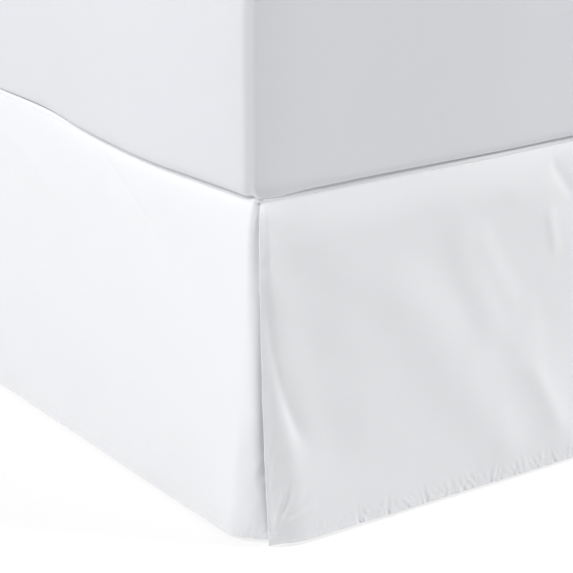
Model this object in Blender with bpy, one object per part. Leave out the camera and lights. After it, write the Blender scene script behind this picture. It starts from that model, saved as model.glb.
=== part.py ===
"""Tailored bed skirt with split corners, on a queen bed: mattress, box spring and steel frame.

The skirt is four cut pieces. A flat deck lies between the mattress and the box spring and rolls
over its edges. A drop is sewn to the deck's left, right and foot edges and hangs to the floor.
Both side drops turn round the foot corners and pass behind the hemmed ends of the foot drop.

Metres, +Z up. The foot of the bed is at -Y, the floor is z = 0 and the origin is the bed's centre.
"""

import math
from collections import namedtuple

import bmesh
import bpy
from mathutils import Vector

# The cut skirt.
SKIRT_WIDTH = 1.524
SKIRT_LENGTH = 2.032
DROP_LENGTH = 0.406
HEM_WIDTH = 0.0127
CLOTH = 0.0012
HEM_CLOTH = 0.0020
PIECE_GAP = 0.0003

# How it hangs.
HEM_HEIGHT = 0.004
SEAM_HEIGHT = HEM_HEIGHT + DROP_LENGTH
SEAM_TURN = 0.0020
ROLL_RADIUS = 0.0045
DECK_TOP = SEAM_HEIGHT + SEAM_TURN + ROLL_RADIUS
HEM_RIPPLE = 0.0006

# Under the seam the cloth bends in over the bed's edge.
SHOULDER_INSET = 0.0075
SHOULDER_DROP = 0.055

# The corner opens out from the seam to the hem, quickly at first.
CORNER_RADIUS_SEAM = 0.020
CORNER_RADIUS_HEM = 0.070
CORNER_OPENING = 1.3
CORNER_WRAP = 0.062

# A side drop's end draws in behind the foot drop, and falls in deeper where nothing backs it.
TUCK = 0.0033
TUCK_ANGLE = 0.75
POCKET_UPPER = 0.0008
POCKET_UPPER_TOP = 0.385
POCKET_UPPER_FADE = 0.08
POCKET_LOWER = 0.0065
POCKET_LOWER_FADE = 0.09
POCKET_END_ANGLE = math.pi / 2 + 0.25
POCKET_END_FADE = 0.6

# The foot drop's hemmed ends lie at these angles round the corner, from the foot's side.
SPLIT_ANGLE_SEAM = math.radians(52)
SPLIT_ANGLE_HEM = math.radians(41)
SPLIT_OPENING = 0.5
SPLIT_EASE = 0.120

# The bed under and over it.
BOX_SPRING_HEIGHT = 0.2287
BOX_SPRING_INSET = 0.0155
BOX_SPRING_CORNER = 0.055
BOX_SPRING_EDGE = 0.005
MATTRESS_HEIGHT = 0.280
MATTRESS_INSET = 0.0085
MATTRESS_CORNER = 0.014
MATTRESS_EDGE = 0.012
BOX_SPRING_TOP = DECK_TOP - CLOTH - PIECE_GAP
BOX_SPRING_BOTTOM = BOX_SPRING_TOP - BOX_SPRING_HEIGHT
MATTRESS_BOTTOM = DECK_TOP + PIECE_GAP

# The steel frame.
RAIL_TOP = BOX_SPRING_BOTTOM - PIECE_GAP
ANGLE = 0.038
ANGLE_WALL = 0.004
RAIL_OUTER = 0.720
RAIL_END = 0.940
CROSS_STATIONS = {"foot": -0.800, "middle": 0.0, "head": 0.800}
LEG_LINES = {"left": -0.620, "centre": 0.0, "right": 0.620}
LEG_SIDE = 0.032
LEG_BEVEL = 0.003
LEG_CLEARANCE = 0.0005
GLIDE_RADIUS = 0.026
GLIDE_HEIGHT = 0.020
GLIDE_SIDES = 18
GLIDE_CHAMFER = 0.003

# Rows of a drop, as distance below the seam. The last step is the hem.
DROP_ROWS = (0.0, 0.010, 0.028, 0.055, 0.090, 0.130, 0.170, 0.210, 0.250, 0.290, 0.325, 0.360,
             DROP_LENGTH - HEM_WIDTH, DROP_LENGTH)
CORNER_STEP = 0.010
CORNER_REACH = 0.110
RUN_STEP = 0.060
ROLL_STEPS = 3
DECK_ARC_STEPS = 6
BLOCK_ARC_STEPS = 5
BLOCK_EDGE_STEPS = 3
SHARP_ANGLE = math.radians(35)

# A fold fades in over this share of its length, and reaches as far past both of its ends.
FOLD_FADE = 0.35
FOLD_PAST = 0.25
SEAM_HOLD = 0.040

# A soft fold runs along a line from its upper to its lower end. bow bends the line sideways,
# width is its half width and height is how far it stands out, or in where negative.
Fold = namedtuple("Fold", "run_top z_top run_low z_low bow width height")

# run is the distance from the left foot corner.
FOOT_FOLDS = (
    Fold(0.018, 0.290, 0.062, 0.130, 0.008, 0.014, -0.0022),
    Fold(-0.006, 0.270, -0.002, 0.050, 0.000, 0.012, 0.0032),
    Fold(0.030, 0.380, 0.100, 0.100, 0.000, 0.045, -0.0036),
    Fold(0.190, 0.285, 0.365, 0.045, 0.000, 0.040, 0.0042),
    Fold(0.272, 0.335, 0.335, 0.200, 0.000, 0.024, 0.0028),
    Fold(0.375, 0.170, 0.455, 0.030, 0.000, 0.030, 0.0030),
    Fold(0.425, 0.390, 0.475, 0.320, 0.000, 0.026, -0.0026),
    Fold(0.560, 0.340, 0.520, 0.050, 0.012, 0.060, -0.0036),
    Fold(0.690, 0.370, 0.640, 0.060, -0.010, 0.055, 0.0040),
    Fold(0.830, 0.330, 0.880, 0.040, 0.012, 0.060, -0.0034),
    Fold(0.980, 0.360, 0.950, 0.090, 0.000, 0.050, 0.0036),
    Fold(1.130, 0.310, 1.060, 0.050, 0.015, 0.055, -0.0036),
    Fold(1.270, 0.350, 1.200, 0.070, 0.000, 0.045, 0.0034),
    Fold(1.390, 0.370, 1.330, 0.100, -0.008, 0.042, -0.0034),
    Fold(1.495, 0.270, 1.445, 0.050, 0.008, 0.028, -0.0034),
)

# run is the distance from the foot corner towards the head.
LEFT_FOLDS = (
    Fold(0.590, 0.378, 0.420, 0.310, 0.000, 0.026, 0.0028),
    Fold(0.565, 0.330, 0.470, 0.280, 0.000, 0.024, -0.0024),
    Fold(0.310, 0.394, 0.200, 0.330, 0.006, 0.024, -0.0024),
    Fold(0.260, 0.330, 0.170, 0.090, 0.020, 0.070, 0.0034),
    Fold(0.480, 0.250, 0.380, 0.050, 0.010, 0.060, -0.0034),
    Fold(0.680, 0.360, 0.620, 0.060, -0.012, 0.055, 0.0034),
    Fold(0.850, 0.320, 0.800, 0.050, 0.010, 0.060, -0.0034),
    Fold(1.010, 0.370, 1.050, 0.070, 0.000, 0.050, 0.0036),
    Fold(1.190, 0.340, 1.160, 0.040, 0.012, 0.060, -0.0032),
    Fold(1.370, 0.360, 1.330, 0.080, -0.010, 0.050, 0.0034),
    Fold(1.540, 0.310, 1.590, 0.050, 0.010, 0.060, -0.0034),
    Fold(1.740, 0.370, 1.700, 0.070, 0.000, 0.055, 0.0036),
    Fold(1.910, 0.330, 1.950, 0.040, 0.006, 0.045, -0.0030),
)

RIGHT_FOLDS = (
    Fold(0.130, 0.360, 0.200, 0.120, 0.008, 0.050, 0.0030),
    Fold(0.300, 0.330, 0.350, 0.040, -0.010, 0.060, -0.0034),
    Fold(0.470, 0.380, 0.430, 0.100, 0.000, 0.050, 0.0034),
    Fold(0.640, 0.320, 0.700, 0.050, 0.014, 0.060, -0.0032),
    Fold(0.860, 0.370, 0.820, 0.070, 0.000, 0.055, 0.0036),
    Fold(1.040, 0.340, 1.000, 0.040, -0.010, 0.055, -0.0034),
    Fold(1.220, 0.360, 1.270, 0.090, 0.008, 0.050, 0.0034),
    Fold(1.430, 0.330, 1.400, 0.050, 0.000, 0.060, -0.0032),
    Fold(1.620, 0.380, 1.580, 0.060, 0.012, 0.050, 0.0036),
    Fold(1.820, 0.340, 1.860, 0.040, -0.006, 0.055, -0.0032),
)

# Where the mattress pushes the deck's edges out: run, half length and distance. run is measured
# from the foot on the sides, and from the left on the foot.
Bulge = namedtuple("Bulge", "run half_length out")
LEFT_BULGES = (
    Bulge(0.190, 0.120, 0.0095),
    Bulge(0.275, 0.190, 0.0075),
    Bulge(0.980, 0.260, 0.0040),
    Bulge(1.660, 0.220, 0.0050),
)
RIGHT_BULGES = (
    Bulge(0.480, 0.240, 0.0060),
    Bulge(1.260, 0.200, 0.0080),
    Bulge(1.800, 0.140, 0.0030),
)
FOOT_BULGES = (Bulge(0.325, 0.110, 0.0055), Bulge(0.930, 0.240, 0.0035))
BULGE_DROP = 0.130

# How the mattress's sides swell, in the same columns. The swelling fades near its upper edge.
MATTRESS_LEFT_SWELLS = (
    Bulge(0.140, 0.240, 0.0115),
    Bulge(0.980, 0.260, 0.0030),
    Bulge(1.660, 0.220, 0.0040),
)
MATTRESS_RIGHT_SWELLS = (
    Bulge(0.480, 0.240, 0.0050),
    Bulge(1.260, 0.200, 0.0070),
    Bulge(1.800, 0.140, 0.0020),
)
SWELL_START = 0.90
SWELL_FADE = 0.08

# Colours of the finishes: red, green, blue, roughness, metallic.
FINISHES = {
    "white_cloth": ((0.86, 0.87, 0.90), 0.80, 0.0),
    "mattress_cover": ((0.84, 0.85, 0.88), 0.85, 0.0),
    "box_spring_cover": ((0.74, 0.74, 0.73), 0.90, 0.0),
    "frame_steel": ((0.06, 0.06, 0.065), 0.45, 0.6),
    "glide_plastic": ((0.03, 0.03, 0.03), 0.60, 0.0),
}


def clear_scene():
    for existing in list(bpy.data.objects):
        bpy.data.objects.remove(existing, do_unlink=True)


def finish_material(name):
    """The Principled material of a finish, made once."""
    if name in bpy.data.materials:
        return bpy.data.materials[name]
    colour, roughness, metallic = FINISHES[name]
    material = bpy.data.materials.new(name)
    material.use_nodes = True
    shader = material.node_tree.nodes["Principled BSDF"]
    shader.inputs["Base Color"].default_value = (*colour, 1.0)
    shader.inputs["Roughness"].default_value = roughness
    shader.inputs["Metallic"].default_value = metallic
    return material


def add_object(name, mesh_builder, finish):
    """Turns a bmesh into a named object with smooth shading between its sharp edges."""
    bmesh.ops.recalc_face_normals(mesh_builder, faces=mesh_builder.faces)
    mesh = bpy.data.meshes.new(name)
    mesh_builder.to_mesh(mesh)
    mesh_builder.free()
    mesh.shade_smooth()
    mesh.set_sharp_from_angle(angle=SHARP_ANGLE)
    mesh.materials.append(finish_material(finish))
    made = bpy.data.objects.new(name, mesh)
    bpy.context.scene.collection.objects.link(made)
    return made


def ease(share):
    """0 to 1 with no corner at either end."""
    share = min(max(share, 0.0), 1.0)
    return share * share * (3.0 - 2.0 * share)


def blend(start, end, share):
    return start + (end - start) * share


def fold_height(fold, run, z):
    """How far one fold moves the cloth at a place on its drop."""
    line = Vector((fold.run_low - fold.run_top, fold.z_low - fold.z_top))
    place = Vector((run - fold.run_top, z - fold.z_top))
    along = place.dot(line) / line.length_squared
    across = (place.x * line.y - place.y * line.x) / line.length
    across -= 4.0 * fold.bow * along * (1.0 - along)
    fade = ease((along + FOLD_PAST) / FOLD_FADE) * ease((1.0 + FOLD_PAST - along) / FOLD_FADE)
    return fold.height * fade * math.exp(-((across / fold.width) ** 2))


def cloth_relief(folds, run, z):
    """All folds together, quiet at the seam, where the deck holds the cloth straight."""
    hold = ease((SEAM_HEIGHT - z) / SEAM_HOLD)
    return hold * sum(fold_height(fold, run, z) for fold in folds)


def edge_bulge(bulges, run):
    """How far the bulges push an edge out at a distance along it."""
    return sum(b.out * math.exp(-(((run - b.run) / b.half_length) ** 2)) for b in bulges)


def drop_bulge(bulges, run, z):
    """The edge's bulge, dying out down the drop."""
    return edge_bulge(bulges, run) * (1.0 - ease((SEAM_HEIGHT - z) / BULGE_DROP))


def shoulder(z):
    """How far the cloth draws in under the seam."""
    share = min(max((SEAM_HEIGHT - z) / SHOULDER_DROP, 0.0), 1.0)
    return SHOULDER_INSET * (1.0 - share) ** 2


def corner_radius(z):
    """The skirt's corner radius at a height."""
    share = (SEAM_HEIGHT - z) / DROP_LENGTH
    return blend(CORNER_RADIUS_SEAM, CORNER_RADIUS_HEM, share**CORNER_OPENING)


def round_corner(run, radius):
    """A cloth's path round a corner: run is measured along its own wall, from the sharp corner.

    Returns the place along the wall, the inset from the wall's plane and the outward normal,
    both as (along, inset) pairs. The path follows the wall, then the arc, then the next wall.
    """
    if run >= radius:
        return Vector((run, 0.0)), Vector((0.0, -1.0))
    angle = (radius - run) / radius
    if angle <= math.pi / 2:
        place = Vector((1.0 - math.sin(angle), 1.0 - math.cos(angle))) * radius
        return place, Vector((-math.sin(angle), -math.cos(angle)))
    beyond = (angle - math.pi / 2) * radius
    return Vector((0.0, radius + beyond)), Vector((-1.0, 0.0))


def split_run(z):
    """Where the foot drop's hemmed end lies: a little past the middle of the corner."""
    share = (SEAM_HEIGHT - z) / DROP_LENGTH
    angle = blend(SPLIT_ANGLE_SEAM, SPLIT_ANGLE_HEM, share**SPLIT_OPENING)
    return corner_radius(z) * (1.0 - angle)


def wall_columns(length):
    """Distances from a corner: close together near it, then even to the far end."""
    near = [CORNER_STEP * step for step in range(1, round(CORNER_REACH / CORNER_STEP) + 1)]
    count = math.ceil((length - near[-1]) / RUN_STEP)
    return near + [blend(near[-1], length, (step + 1) / count) for step in range(count)]


def drop_height(run, below):
    """Height of a place on a drop, whose hem ripples by about a millimetre over the floor."""
    ripple = HEM_RIPPLE * (1.0 + math.sin(run * 19.0) * math.sin(run * 7.0 + 1.0))
    return SEAM_HEIGHT - PIECE_GAP - below + ripple * (below / DROP_LENGTH)


def foot_relief(from_left, z):
    """How far the foot drop stands out from its wall."""
    relief = cloth_relief(FOOT_FOLDS, from_left, z) + drop_bulge(FOOT_BULGES, from_left, z)
    return relief - shoulder(z)


def foot_point(cut, half, z):
    """The foot drop's outer face. cut is the distance from its end on the flat cloth."""
    open_end = split_run(z)
    run = cut
    if run < SPLIT_EASE:
        run = blend(open_end, SPLIT_EASE, run / SPLIT_EASE)
    place, normal = round_corner(run, corner_radius(z))
    from_left = run if half < 0 else SKIRT_WIDTH - run
    place = place + normal * foot_relief(from_left, z)
    return Vector((half * (SKIRT_WIDTH / 2 - place.x), place.y - SKIRT_LENGTH / 2, z))


def side_tuck(angle, z):
    """How far a side drop draws in on its way behind the foot drop."""
    behind = ease(angle / TUCK_ANGLE)
    pocket = behind * ease((POCKET_END_ANGLE - angle) / POCKET_END_FADE)
    upper = POCKET_UPPER * ease((POCKET_UPPER_TOP - z) / POCKET_UPPER_FADE)
    lower = POCKET_LOWER * ease((BOX_SPRING_BOTTOM - z) / POCKET_LOWER_FADE)
    return TUCK * behind + (upper + lower) * pocket


def side_point(run, side, z, folds, bulges):
    """A side drop's outer face. run is the distance from the foot corner along the cloth."""
    radius = corner_radius(z)
    place, normal = round_corner(run, radius)
    angle = (radius - run) / radius
    foot_run = 2 * radius - radius * math.pi / 2 - run
    from_left = foot_run if side < 0 else SKIRT_WIDTH - foot_run
    behind = ease(angle / TUCK_ANGLE)
    own = cloth_relief(folds, run, z) + drop_bulge(bulges, run, z) - shoulder(z)
    relief = blend(own, foot_relief(from_left, z), behind)
    place = place + normal * (relief - side_tuck(angle, z))
    return Vector((side * (SKIRT_WIDTH / 2 - place.y), place.x - SKIRT_LENGTH / 2, z))


def add_drop(name, columns, point_at, hem_ends):
    """A hanging piece of cloth from a grid of its outer face, with a turned hem on its inside.

    point_at gives the outer face at a column and a height. hem_ends says which of the first
    and last columns are hemmed.
    """
    builder = bmesh.new()
    hem_layer = builder.verts.layers.deform.verify()
    grid = []
    for index, column in enumerate(columns):
        first_hem = hem_ends[0] and index <= 1
        last_hem = hem_ends[1] and index >= len(columns) - 2
        line = []
        for row, below in enumerate(DROP_ROWS):
            vertex = builder.verts.new(point_at(column, below))
            in_hem = first_hem or last_hem or row >= len(DROP_ROWS) - 2
            vertex[hem_layer][0] = 1.0 if in_hem else 0.0
            line.append(vertex)
        grid.append(line)
    for left, right in zip(grid, grid[1:]):
        for row in range(len(DROP_ROWS) - 1):
            builder.faces.new((left[row], left[row + 1], right[row + 1], right[row]))
    drop = add_sheet(name, builder, HEM_CLOTH)
    drop.vertex_groups.new(name="hem")
    drop.modifiers["thickness"].vertex_group = "hem"
    drop.modifiers["thickness"].thickness_vertex_group = CLOTH / HEM_CLOTH


def add_sheet(name, builder, thickness):
    """Gives a cloth's outer face its thickness inwards."""
    sheet = add_object(name, builder, "white_cloth")
    orient_outwards(sheet)
    solid = sheet.modifiers.new("thickness", "SOLIDIFY")
    solid.thickness = thickness
    solid.offset = -1.0
    return sheet


def orient_outwards(sheet):
    """Turns the sheet's faces away from the bed's middle, where they point at it."""
    middle = Vector((0.0, 0.0, SEAM_HEIGHT / 2))
    outward = sum((f.center - middle).dot(f.normal) * f.area for f in sheet.data.polygons)
    if outward < 0.0:
        sheet.data.flip_normals()


def add_foot_drop():
    """The outermost drop. Its ends are hemmed and lie on the foot corners."""
    after_hem = 1.5 * HEM_WIDTH
    near = [0.0, HEM_WIDTH] + [c for c in wall_columns(SKIRT_WIDTH / 2) if c > after_hem]
    columns = [(-1, c) for c in near] + [(1, c) for c in reversed(near[:-1])]

    def point_at(column, below):
        half, cut = column
        from_left = cut if half < 0 else SKIRT_WIDTH - cut
        return foot_point(cut, half, drop_height(from_left, below))

    add_drop("skirt_drop_foot", columns, point_at, (True, True))


def add_side_drop(name, side, folds, bulges):
    """A drop from the head end to the foot corner and on behind the foot drop."""
    wrap_steps = round((CORNER_WRAP - HEM_WIDTH) / CORNER_STEP)
    wrap = [-CORNER_WRAP]
    wrap += [blend(HEM_WIDTH - CORNER_WRAP, 0.0, step / wrap_steps) for step in range(wrap_steps + 1)]
    walls = wall_columns(SKIRT_LENGTH)
    columns = wrap + [w for w in walls if w < SKIRT_LENGTH - 1.5 * HEM_WIDTH]
    columns += [SKIRT_LENGTH - HEM_WIDTH, SKIRT_LENGTH]

    def point_at(run, below):
        return side_point(run, side, drop_height(run, below), folds, bulges)

    add_drop(name, columns, point_at, (True, True))


def deck_edge(side):
    """Points down one side of the deck's edge in plan: head, wall and foot corner.

    Each is (x, y, normal x, normal y) on the deck's outer edge, from the head to the foot.
    """
    bulges = LEFT_BULGES if side < 0 else RIGHT_BULGES
    edge = []
    runs = [SKIRT_LENGTH, SKIRT_LENGTH - HEM_WIDTH]
    walls = [w for w in wall_columns(SKIRT_LENGTH) if CORNER_RADIUS_SEAM < w < runs[1] - 0.02]
    for run in runs + walls[::-1]:
        x = side * (SKIRT_WIDTH / 2 + edge_bulge(bulges, run))
        edge.append((x, run - SKIRT_LENGTH / 2, side, 0.0))
    for step in range(DECK_ARC_STEPS + 1):
        angle = math.pi / 2 * step / DECK_ARC_STEPS
        run = CORNER_RADIUS_SEAM * (1.0 - math.sin(angle))
        inset = CORNER_RADIUS_SEAM * (1.0 - math.cos(angle))
        out = edge_bulge(bulges, run) * math.cos(angle)
        x = side * (SKIRT_WIDTH / 2 - inset + out)
        edge.append((x, run - SKIRT_LENGTH / 2, side * math.cos(angle), -math.sin(angle)))
    return edge


def add_deck():
    """The flat deck, hemmed at the head, that rolls down over its other three edges."""
    left = deck_edge(-1)
    right = deck_edge(1)
    foot_half = SKIRT_WIDTH / 2 - CORNER_RADIUS_SEAM
    foot_count = math.ceil(2 * foot_half / RUN_STEP)
    foot = []
    for step in range(1, foot_count):
        x = blend(-foot_half, foot_half, step / foot_count)
        out = edge_bulge(FOOT_BULGES, x + SKIRT_WIDTH / 2)
        foot.append((x, -SKIRT_LENGTH / 2 - out, 0.0, -1.0))
    path = left + foot + right[::-1]
    builder = bmesh.new()
    roll = [(SHOULDER_INSET, SEAM_HEIGHT)]
    for step in range(ROLL_STEPS + 1):
        angle = math.pi / 2 * step / ROLL_STEPS
        inset = SHOULDER_INSET + ROLL_RADIUS * (1.0 - math.cos(angle))
        roll.append((inset, SEAM_HEIGHT + SEAM_TURN + ROLL_RADIUS * math.sin(angle)))
    rings = []
    for inset, z in roll:
        ring = [builder.verts.new((x - nx * inset, y - ny * inset, z)) for x, y, nx, ny in path]
        rings.append(ring)
    for low, high in zip(rings, rings[1:]):
        for index in range(len(path) - 1):
            builder.faces.new((low[index], low[index + 1], high[index + 1], high[index]))
    flat = rings[-1]
    builder.faces.new(flat[1:-1])
    builder.faces.new((flat[0], flat[1], flat[-2], flat[-1]))
    add_sheet("skirt_deck", builder, CLOTH)


def block_ring(half_width, half_length, radius, inset, z, side_steps):
    """A rounded rectangle of points, with side_steps along each straight side."""
    points = []
    reach = Vector((half_width - radius, half_length - radius))
    corners = ((1, 1), (-1, 1), (-1, -1), (1, -1))
    for index, (sx, sy) in enumerate(corners):
        centre = Vector((sx * reach.x, sy * reach.y))
        start = index * math.pi / 2
        for step in range(BLOCK_ARC_STEPS + 1):
            angle = start + math.pi / 2 * step / BLOCK_ARC_STEPS
            arm = radius - inset
            points.append(centre + Vector((math.cos(angle), math.sin(angle))) * arm)
        nx, ny = corners[(index + 1) % 4]
        following = Vector((nx * reach.x, ny * reach.y))
        out = Vector((math.cos(start + math.pi / 2), math.sin(start + math.pi / 2)))
        out *= radius - inset
        for step in range(1, side_steps):
            points.append(centre.lerp(following, step / side_steps) + out)
    return [Vector((p.x, p.y, z)) for p in points]


def add_block(name, size, radius, edge, bottom, height, side_steps, finish, shape=None):
    """An upholstered block: a rounded outline with rounded lower and upper edges."""
    half_width, half_length = size
    levels = []
    for step in range(BLOCK_EDGE_STEPS + 1):
        angle = math.pi / 2 * step / BLOCK_EDGE_STEPS
        levels.append((edge * (1.0 - math.sin(angle)), bottom + edge * (1.0 - math.cos(angle))))
    body_steps = 3 if shape else 1
    top = bottom + height
    for step in range(1, body_steps):
        levels.append((0.0, blend(bottom + edge, top - edge, step / body_steps)))
    rounded = levels[:BLOCK_EDGE_STEPS + 1]
    levels += [(inset, bottom + top - z) for inset, z in reversed(rounded)]
    builder = bmesh.new()
    rings = []
    for inset, z in levels:
        ring = block_ring(half_width, half_length, radius, inset, z, side_steps)
        rings.append([builder.verts.new(shape(p) if shape else p) for p in ring])
    for low, high in zip(rings, rings[1:]):
        for index in range(len(low)):
            following = (index + 1) % len(low)
            builder.faces.new((low[index], low[following], high[following], high[index]))
    builder.faces.new(rings[0][::-1])
    builder.faces.new(rings[-1])
    add_object(name, builder, finish)


def mattress_shape(point):
    """The mattress's sides swell by as much as they push the deck out."""
    run = point.y + SKIRT_LENGTH / 2
    swells = MATTRESS_LEFT_SWELLS if point.x < 0 else MATTRESS_RIGHT_SWELLS
    share = abs(point.x) / (SKIRT_WIDTH / 2)
    side_only = ease((share - SWELL_START) / SWELL_FADE)
    point.x += math.copysign(edge_bulge(swells, run) * side_only, point.x)
    return point


def add_mattress():
    size = (SKIRT_WIDTH / 2 - MATTRESS_INSET, SKIRT_LENGTH / 2 - MATTRESS_INSET)
    add_block("mattress", size, MATTRESS_CORNER, MATTRESS_EDGE, MATTRESS_BOTTOM, MATTRESS_HEIGHT,
              12, "mattress_cover", mattress_shape)


def add_box_spring():
    size = (SKIRT_WIDTH / 2 - BOX_SPRING_INSET, SKIRT_LENGTH / 2 - BOX_SPRING_INSET)
    add_block("box_spring", size, BOX_SPRING_CORNER, BOX_SPRING_EDGE, BOX_SPRING_BOTTOM,
              BOX_SPRING_HEIGHT, 1, "box_spring_cover")


def add_angle_bar(name, start, end, flange):
    """An angle bar from start to end, at its top outer edge. flange points to its flat leg."""
    builder = bmesh.new()
    down = Vector((0.0, 0.0, -1.0))
    section = ((0.0, 0.0), (ANGLE, 0.0), (ANGLE, ANGLE_WALL), (ANGLE_WALL, ANGLE_WALL),
               (ANGLE_WALL, ANGLE), (0.0, ANGLE))
    face = builder.faces.new([builder.verts.new(start + flange * a + down * b) for a, b in section])
    grown = bmesh.ops.extrude_face_region(builder, geom=[face])
    moved = [g for g in grown["geom"] if isinstance(g, bmesh.types.BMVert)]
    bmesh.ops.translate(builder, verts=moved, vec=end - start)
    add_object(name, builder, "frame_steel")


def add_rails():
    """Two side rails and three cross bars, their flat legs under the box spring."""
    for side, name in ((-1, "left"), (1, "right")):
        start = Vector((side * RAIL_OUTER, -RAIL_END, RAIL_TOP))
        end = Vector((side * RAIL_OUTER, RAIL_END, RAIL_TOP))
        add_angle_bar(f"frame_rail_{name}", start, end, Vector((-side, 0.0, 0.0)))
    reach = RAIL_OUTER - ANGLE - PIECE_GAP
    for name, y in CROSS_STATIONS.items():
        start = Vector((-reach, y - ANGLE / 2, RAIL_TOP))
        end = Vector((reach, y - ANGLE / 2, RAIL_TOP))
        add_angle_bar(f"frame_cross_{name}", start, end, Vector((0.0, 1.0, 0.0)))


def add_leg(name, x, y):
    """A square steel leg under a cross bar's flat leg, beside its upright one."""
    low = GLIDE_HEIGHT + PIECE_GAP
    high = RAIL_TOP - ANGLE_WALL - PIECE_GAP
    builder = bmesh.new()
    bmesh.ops.create_cube(builder, size=1.0)
    bmesh.ops.scale(builder, vec=(LEG_SIDE, LEG_SIDE, high - low), verts=builder.verts)
    upright = [e for e in builder.edges if abs(e.verts[0].co.z - e.verts[1].co.z) > LEG_SIDE]
    bmesh.ops.bevel(builder, geom=upright, offset=LEG_BEVEL, segments=2, affect="EDGES", profile=0.5)
    bmesh.ops.translate(builder, vec=(x, y, (low + high) / 2), verts=builder.verts)
    add_object(f"frame_leg_{name}", builder, "frame_steel")


def add_glide(name, x, y):
    """The round plastic foot under a leg."""
    builder = bmesh.new()
    bmesh.ops.create_cone(builder, cap_ends=True, segments=GLIDE_SIDES, radius1=GLIDE_RADIUS,
                          radius2=GLIDE_RADIUS, depth=GLIDE_HEIGHT)
    rim = [e for e in builder.edges if abs(e.verts[0].co.z - e.verts[1].co.z) < 1e-6]
    bmesh.ops.bevel(builder, geom=rim, offset=GLIDE_CHAMFER, segments=1, affect="EDGES")
    bmesh.ops.translate(builder, vec=(x, y, GLIDE_HEIGHT / 2), verts=builder.verts)
    add_object(f"frame_glide_{name}", builder, "glide_plastic")


def add_legs():
    """Nine legs: three under each cross bar."""
    leg_offset = ANGLE_WALL + LEG_CLEARANCE + LEG_SIDE / 2 - ANGLE / 2
    for station, y in CROSS_STATIONS.items():
        for line, x in LEG_LINES.items():
            add_leg(f"{station}_{line}", x, y + leg_offset)
            add_glide(f"{station}_{line}", x, y + leg_offset)


def main():
    clear_scene()
    add_rails()
    add_legs()
    add_box_spring()
    add_deck()
    add_side_drop("skirt_drop_left", -1, LEFT_FOLDS, LEFT_BULGES)
    add_side_drop("skirt_drop_right", 1, RIGHT_FOLDS, RIGHT_BULGES)
    add_foot_drop()
    add_mattress()


main()
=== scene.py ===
"""A tailored bed skirt with split corners, hung on a plain bed.

Each drop is cut flat as a grid, hung by a function that gives every flat place its place in the
room, and then given its thickness. The hems' puckers and stitches follow from the same functions.
Metres, but for the tables of folds and swellings, which are in millimetres. +Z is up, the foot of
the bed is at -Y, the floor is z = 0 and the origin is the bed's centre.
"""

import math
from collections import namedtuple

import bpy
import numpy as np
from bpy.props import FloatProperty, FloatVectorProperty, PointerProperty
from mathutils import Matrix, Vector


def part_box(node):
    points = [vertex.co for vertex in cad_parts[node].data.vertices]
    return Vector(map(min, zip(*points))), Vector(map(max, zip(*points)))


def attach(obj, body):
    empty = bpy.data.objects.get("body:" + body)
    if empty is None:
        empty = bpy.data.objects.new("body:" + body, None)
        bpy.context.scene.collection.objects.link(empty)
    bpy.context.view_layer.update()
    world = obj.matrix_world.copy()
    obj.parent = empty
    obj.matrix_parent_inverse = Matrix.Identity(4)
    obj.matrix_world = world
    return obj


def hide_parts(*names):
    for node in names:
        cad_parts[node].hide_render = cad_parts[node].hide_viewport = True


bl_info = {
    "name": "Split Corner Bed Skirt",
    "version": (1, 0, 0),
    "blender": (4, 5, 0),
    "location": "3D View > Sidebar > Bed Skirt",
    "description": "A white tailored bed skirt with split corners on a plain bed",
    "category": "Add Mesh",
}

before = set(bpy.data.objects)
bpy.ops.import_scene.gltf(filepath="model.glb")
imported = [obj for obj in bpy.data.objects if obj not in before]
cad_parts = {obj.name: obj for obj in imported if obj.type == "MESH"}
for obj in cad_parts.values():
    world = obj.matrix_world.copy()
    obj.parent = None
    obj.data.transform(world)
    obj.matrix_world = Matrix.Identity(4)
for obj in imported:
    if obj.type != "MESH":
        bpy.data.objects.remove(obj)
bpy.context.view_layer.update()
BODY = "root"

# The cut skirt, as the frame's solids have it.
SKIRT_WIDTH = 1.524
SKIRT_LENGTH = 2.032
DROP_LENGTH = 0.406
SEAM_LAP = 0.00005
HEM_HEIGHT = 0.004
SEAM_HEIGHT = HEM_HEIGHT + DROP_LENGTH
SEAM_TURN = 0.0020
ROLL_RADIUS = 0.0045
SHOULDER_INSET = 0.0075
FOOT_SHOULDER_INSET = 0.0100
SHOULDER_DROP = 0.055
HEM_RIPPLE = 0.0006

# The corner opens out from the seam to the hem, quickly at first.
CORNER_RADIUS_SEAM = 0.018
CORNER_RADIUS_HEM = 0.070
CORNER_OPENING = 1.5
CORNER_WRAP = 0.062

# A side drop's end draws in behind the foot drop, and falls in deeper where nothing backs it.
TUCK = 0.0030
TUCK_ANGLE = 0.75
TUCK_LOST = 0.45
POCKET_UPPER = 0.0008
POCKET_UPPER_TOP = 0.385
POCKET_UPPER_FADE = 0.08
POCKET_LOWER = 0.0065
POCKET_LOWER_FADE = 0.09
POCKET_END_ANGLE = math.pi / 2 + 0.25
POCKET_END_FADE = 0.6

# The foot drop's hemmed ends lie at these angles round the corner, from the foot's side.
SPLIT_ANGLE_SEAM = math.radians(52)
SPLIT_ANGLE_HEM = math.radians(41)
SPLIT_OPENING = 0.5
SPLIT_EASE = 0.120
SPLIT_TOP = 0.396
SPLIT_FADE = 0.012

# Beside the split the side drop dips once more, and puckers a little.
GROOVE = 0.0026
GROOVE_WIDTH = 0.0045

# The foot drop's end sinks in where it is sewn, and its hem's corner hangs a little lower.
END_SINK = 0.0004
END_DIP = 0.0024

# A fold fades in over this share of its length, and reaches as far past both of its ends.
FOLD_FADE = 0.35
FOLD_PAST = 0.25
SEAM_HOLD = 0.040
CREASE_HOLD = 0.012

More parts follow.
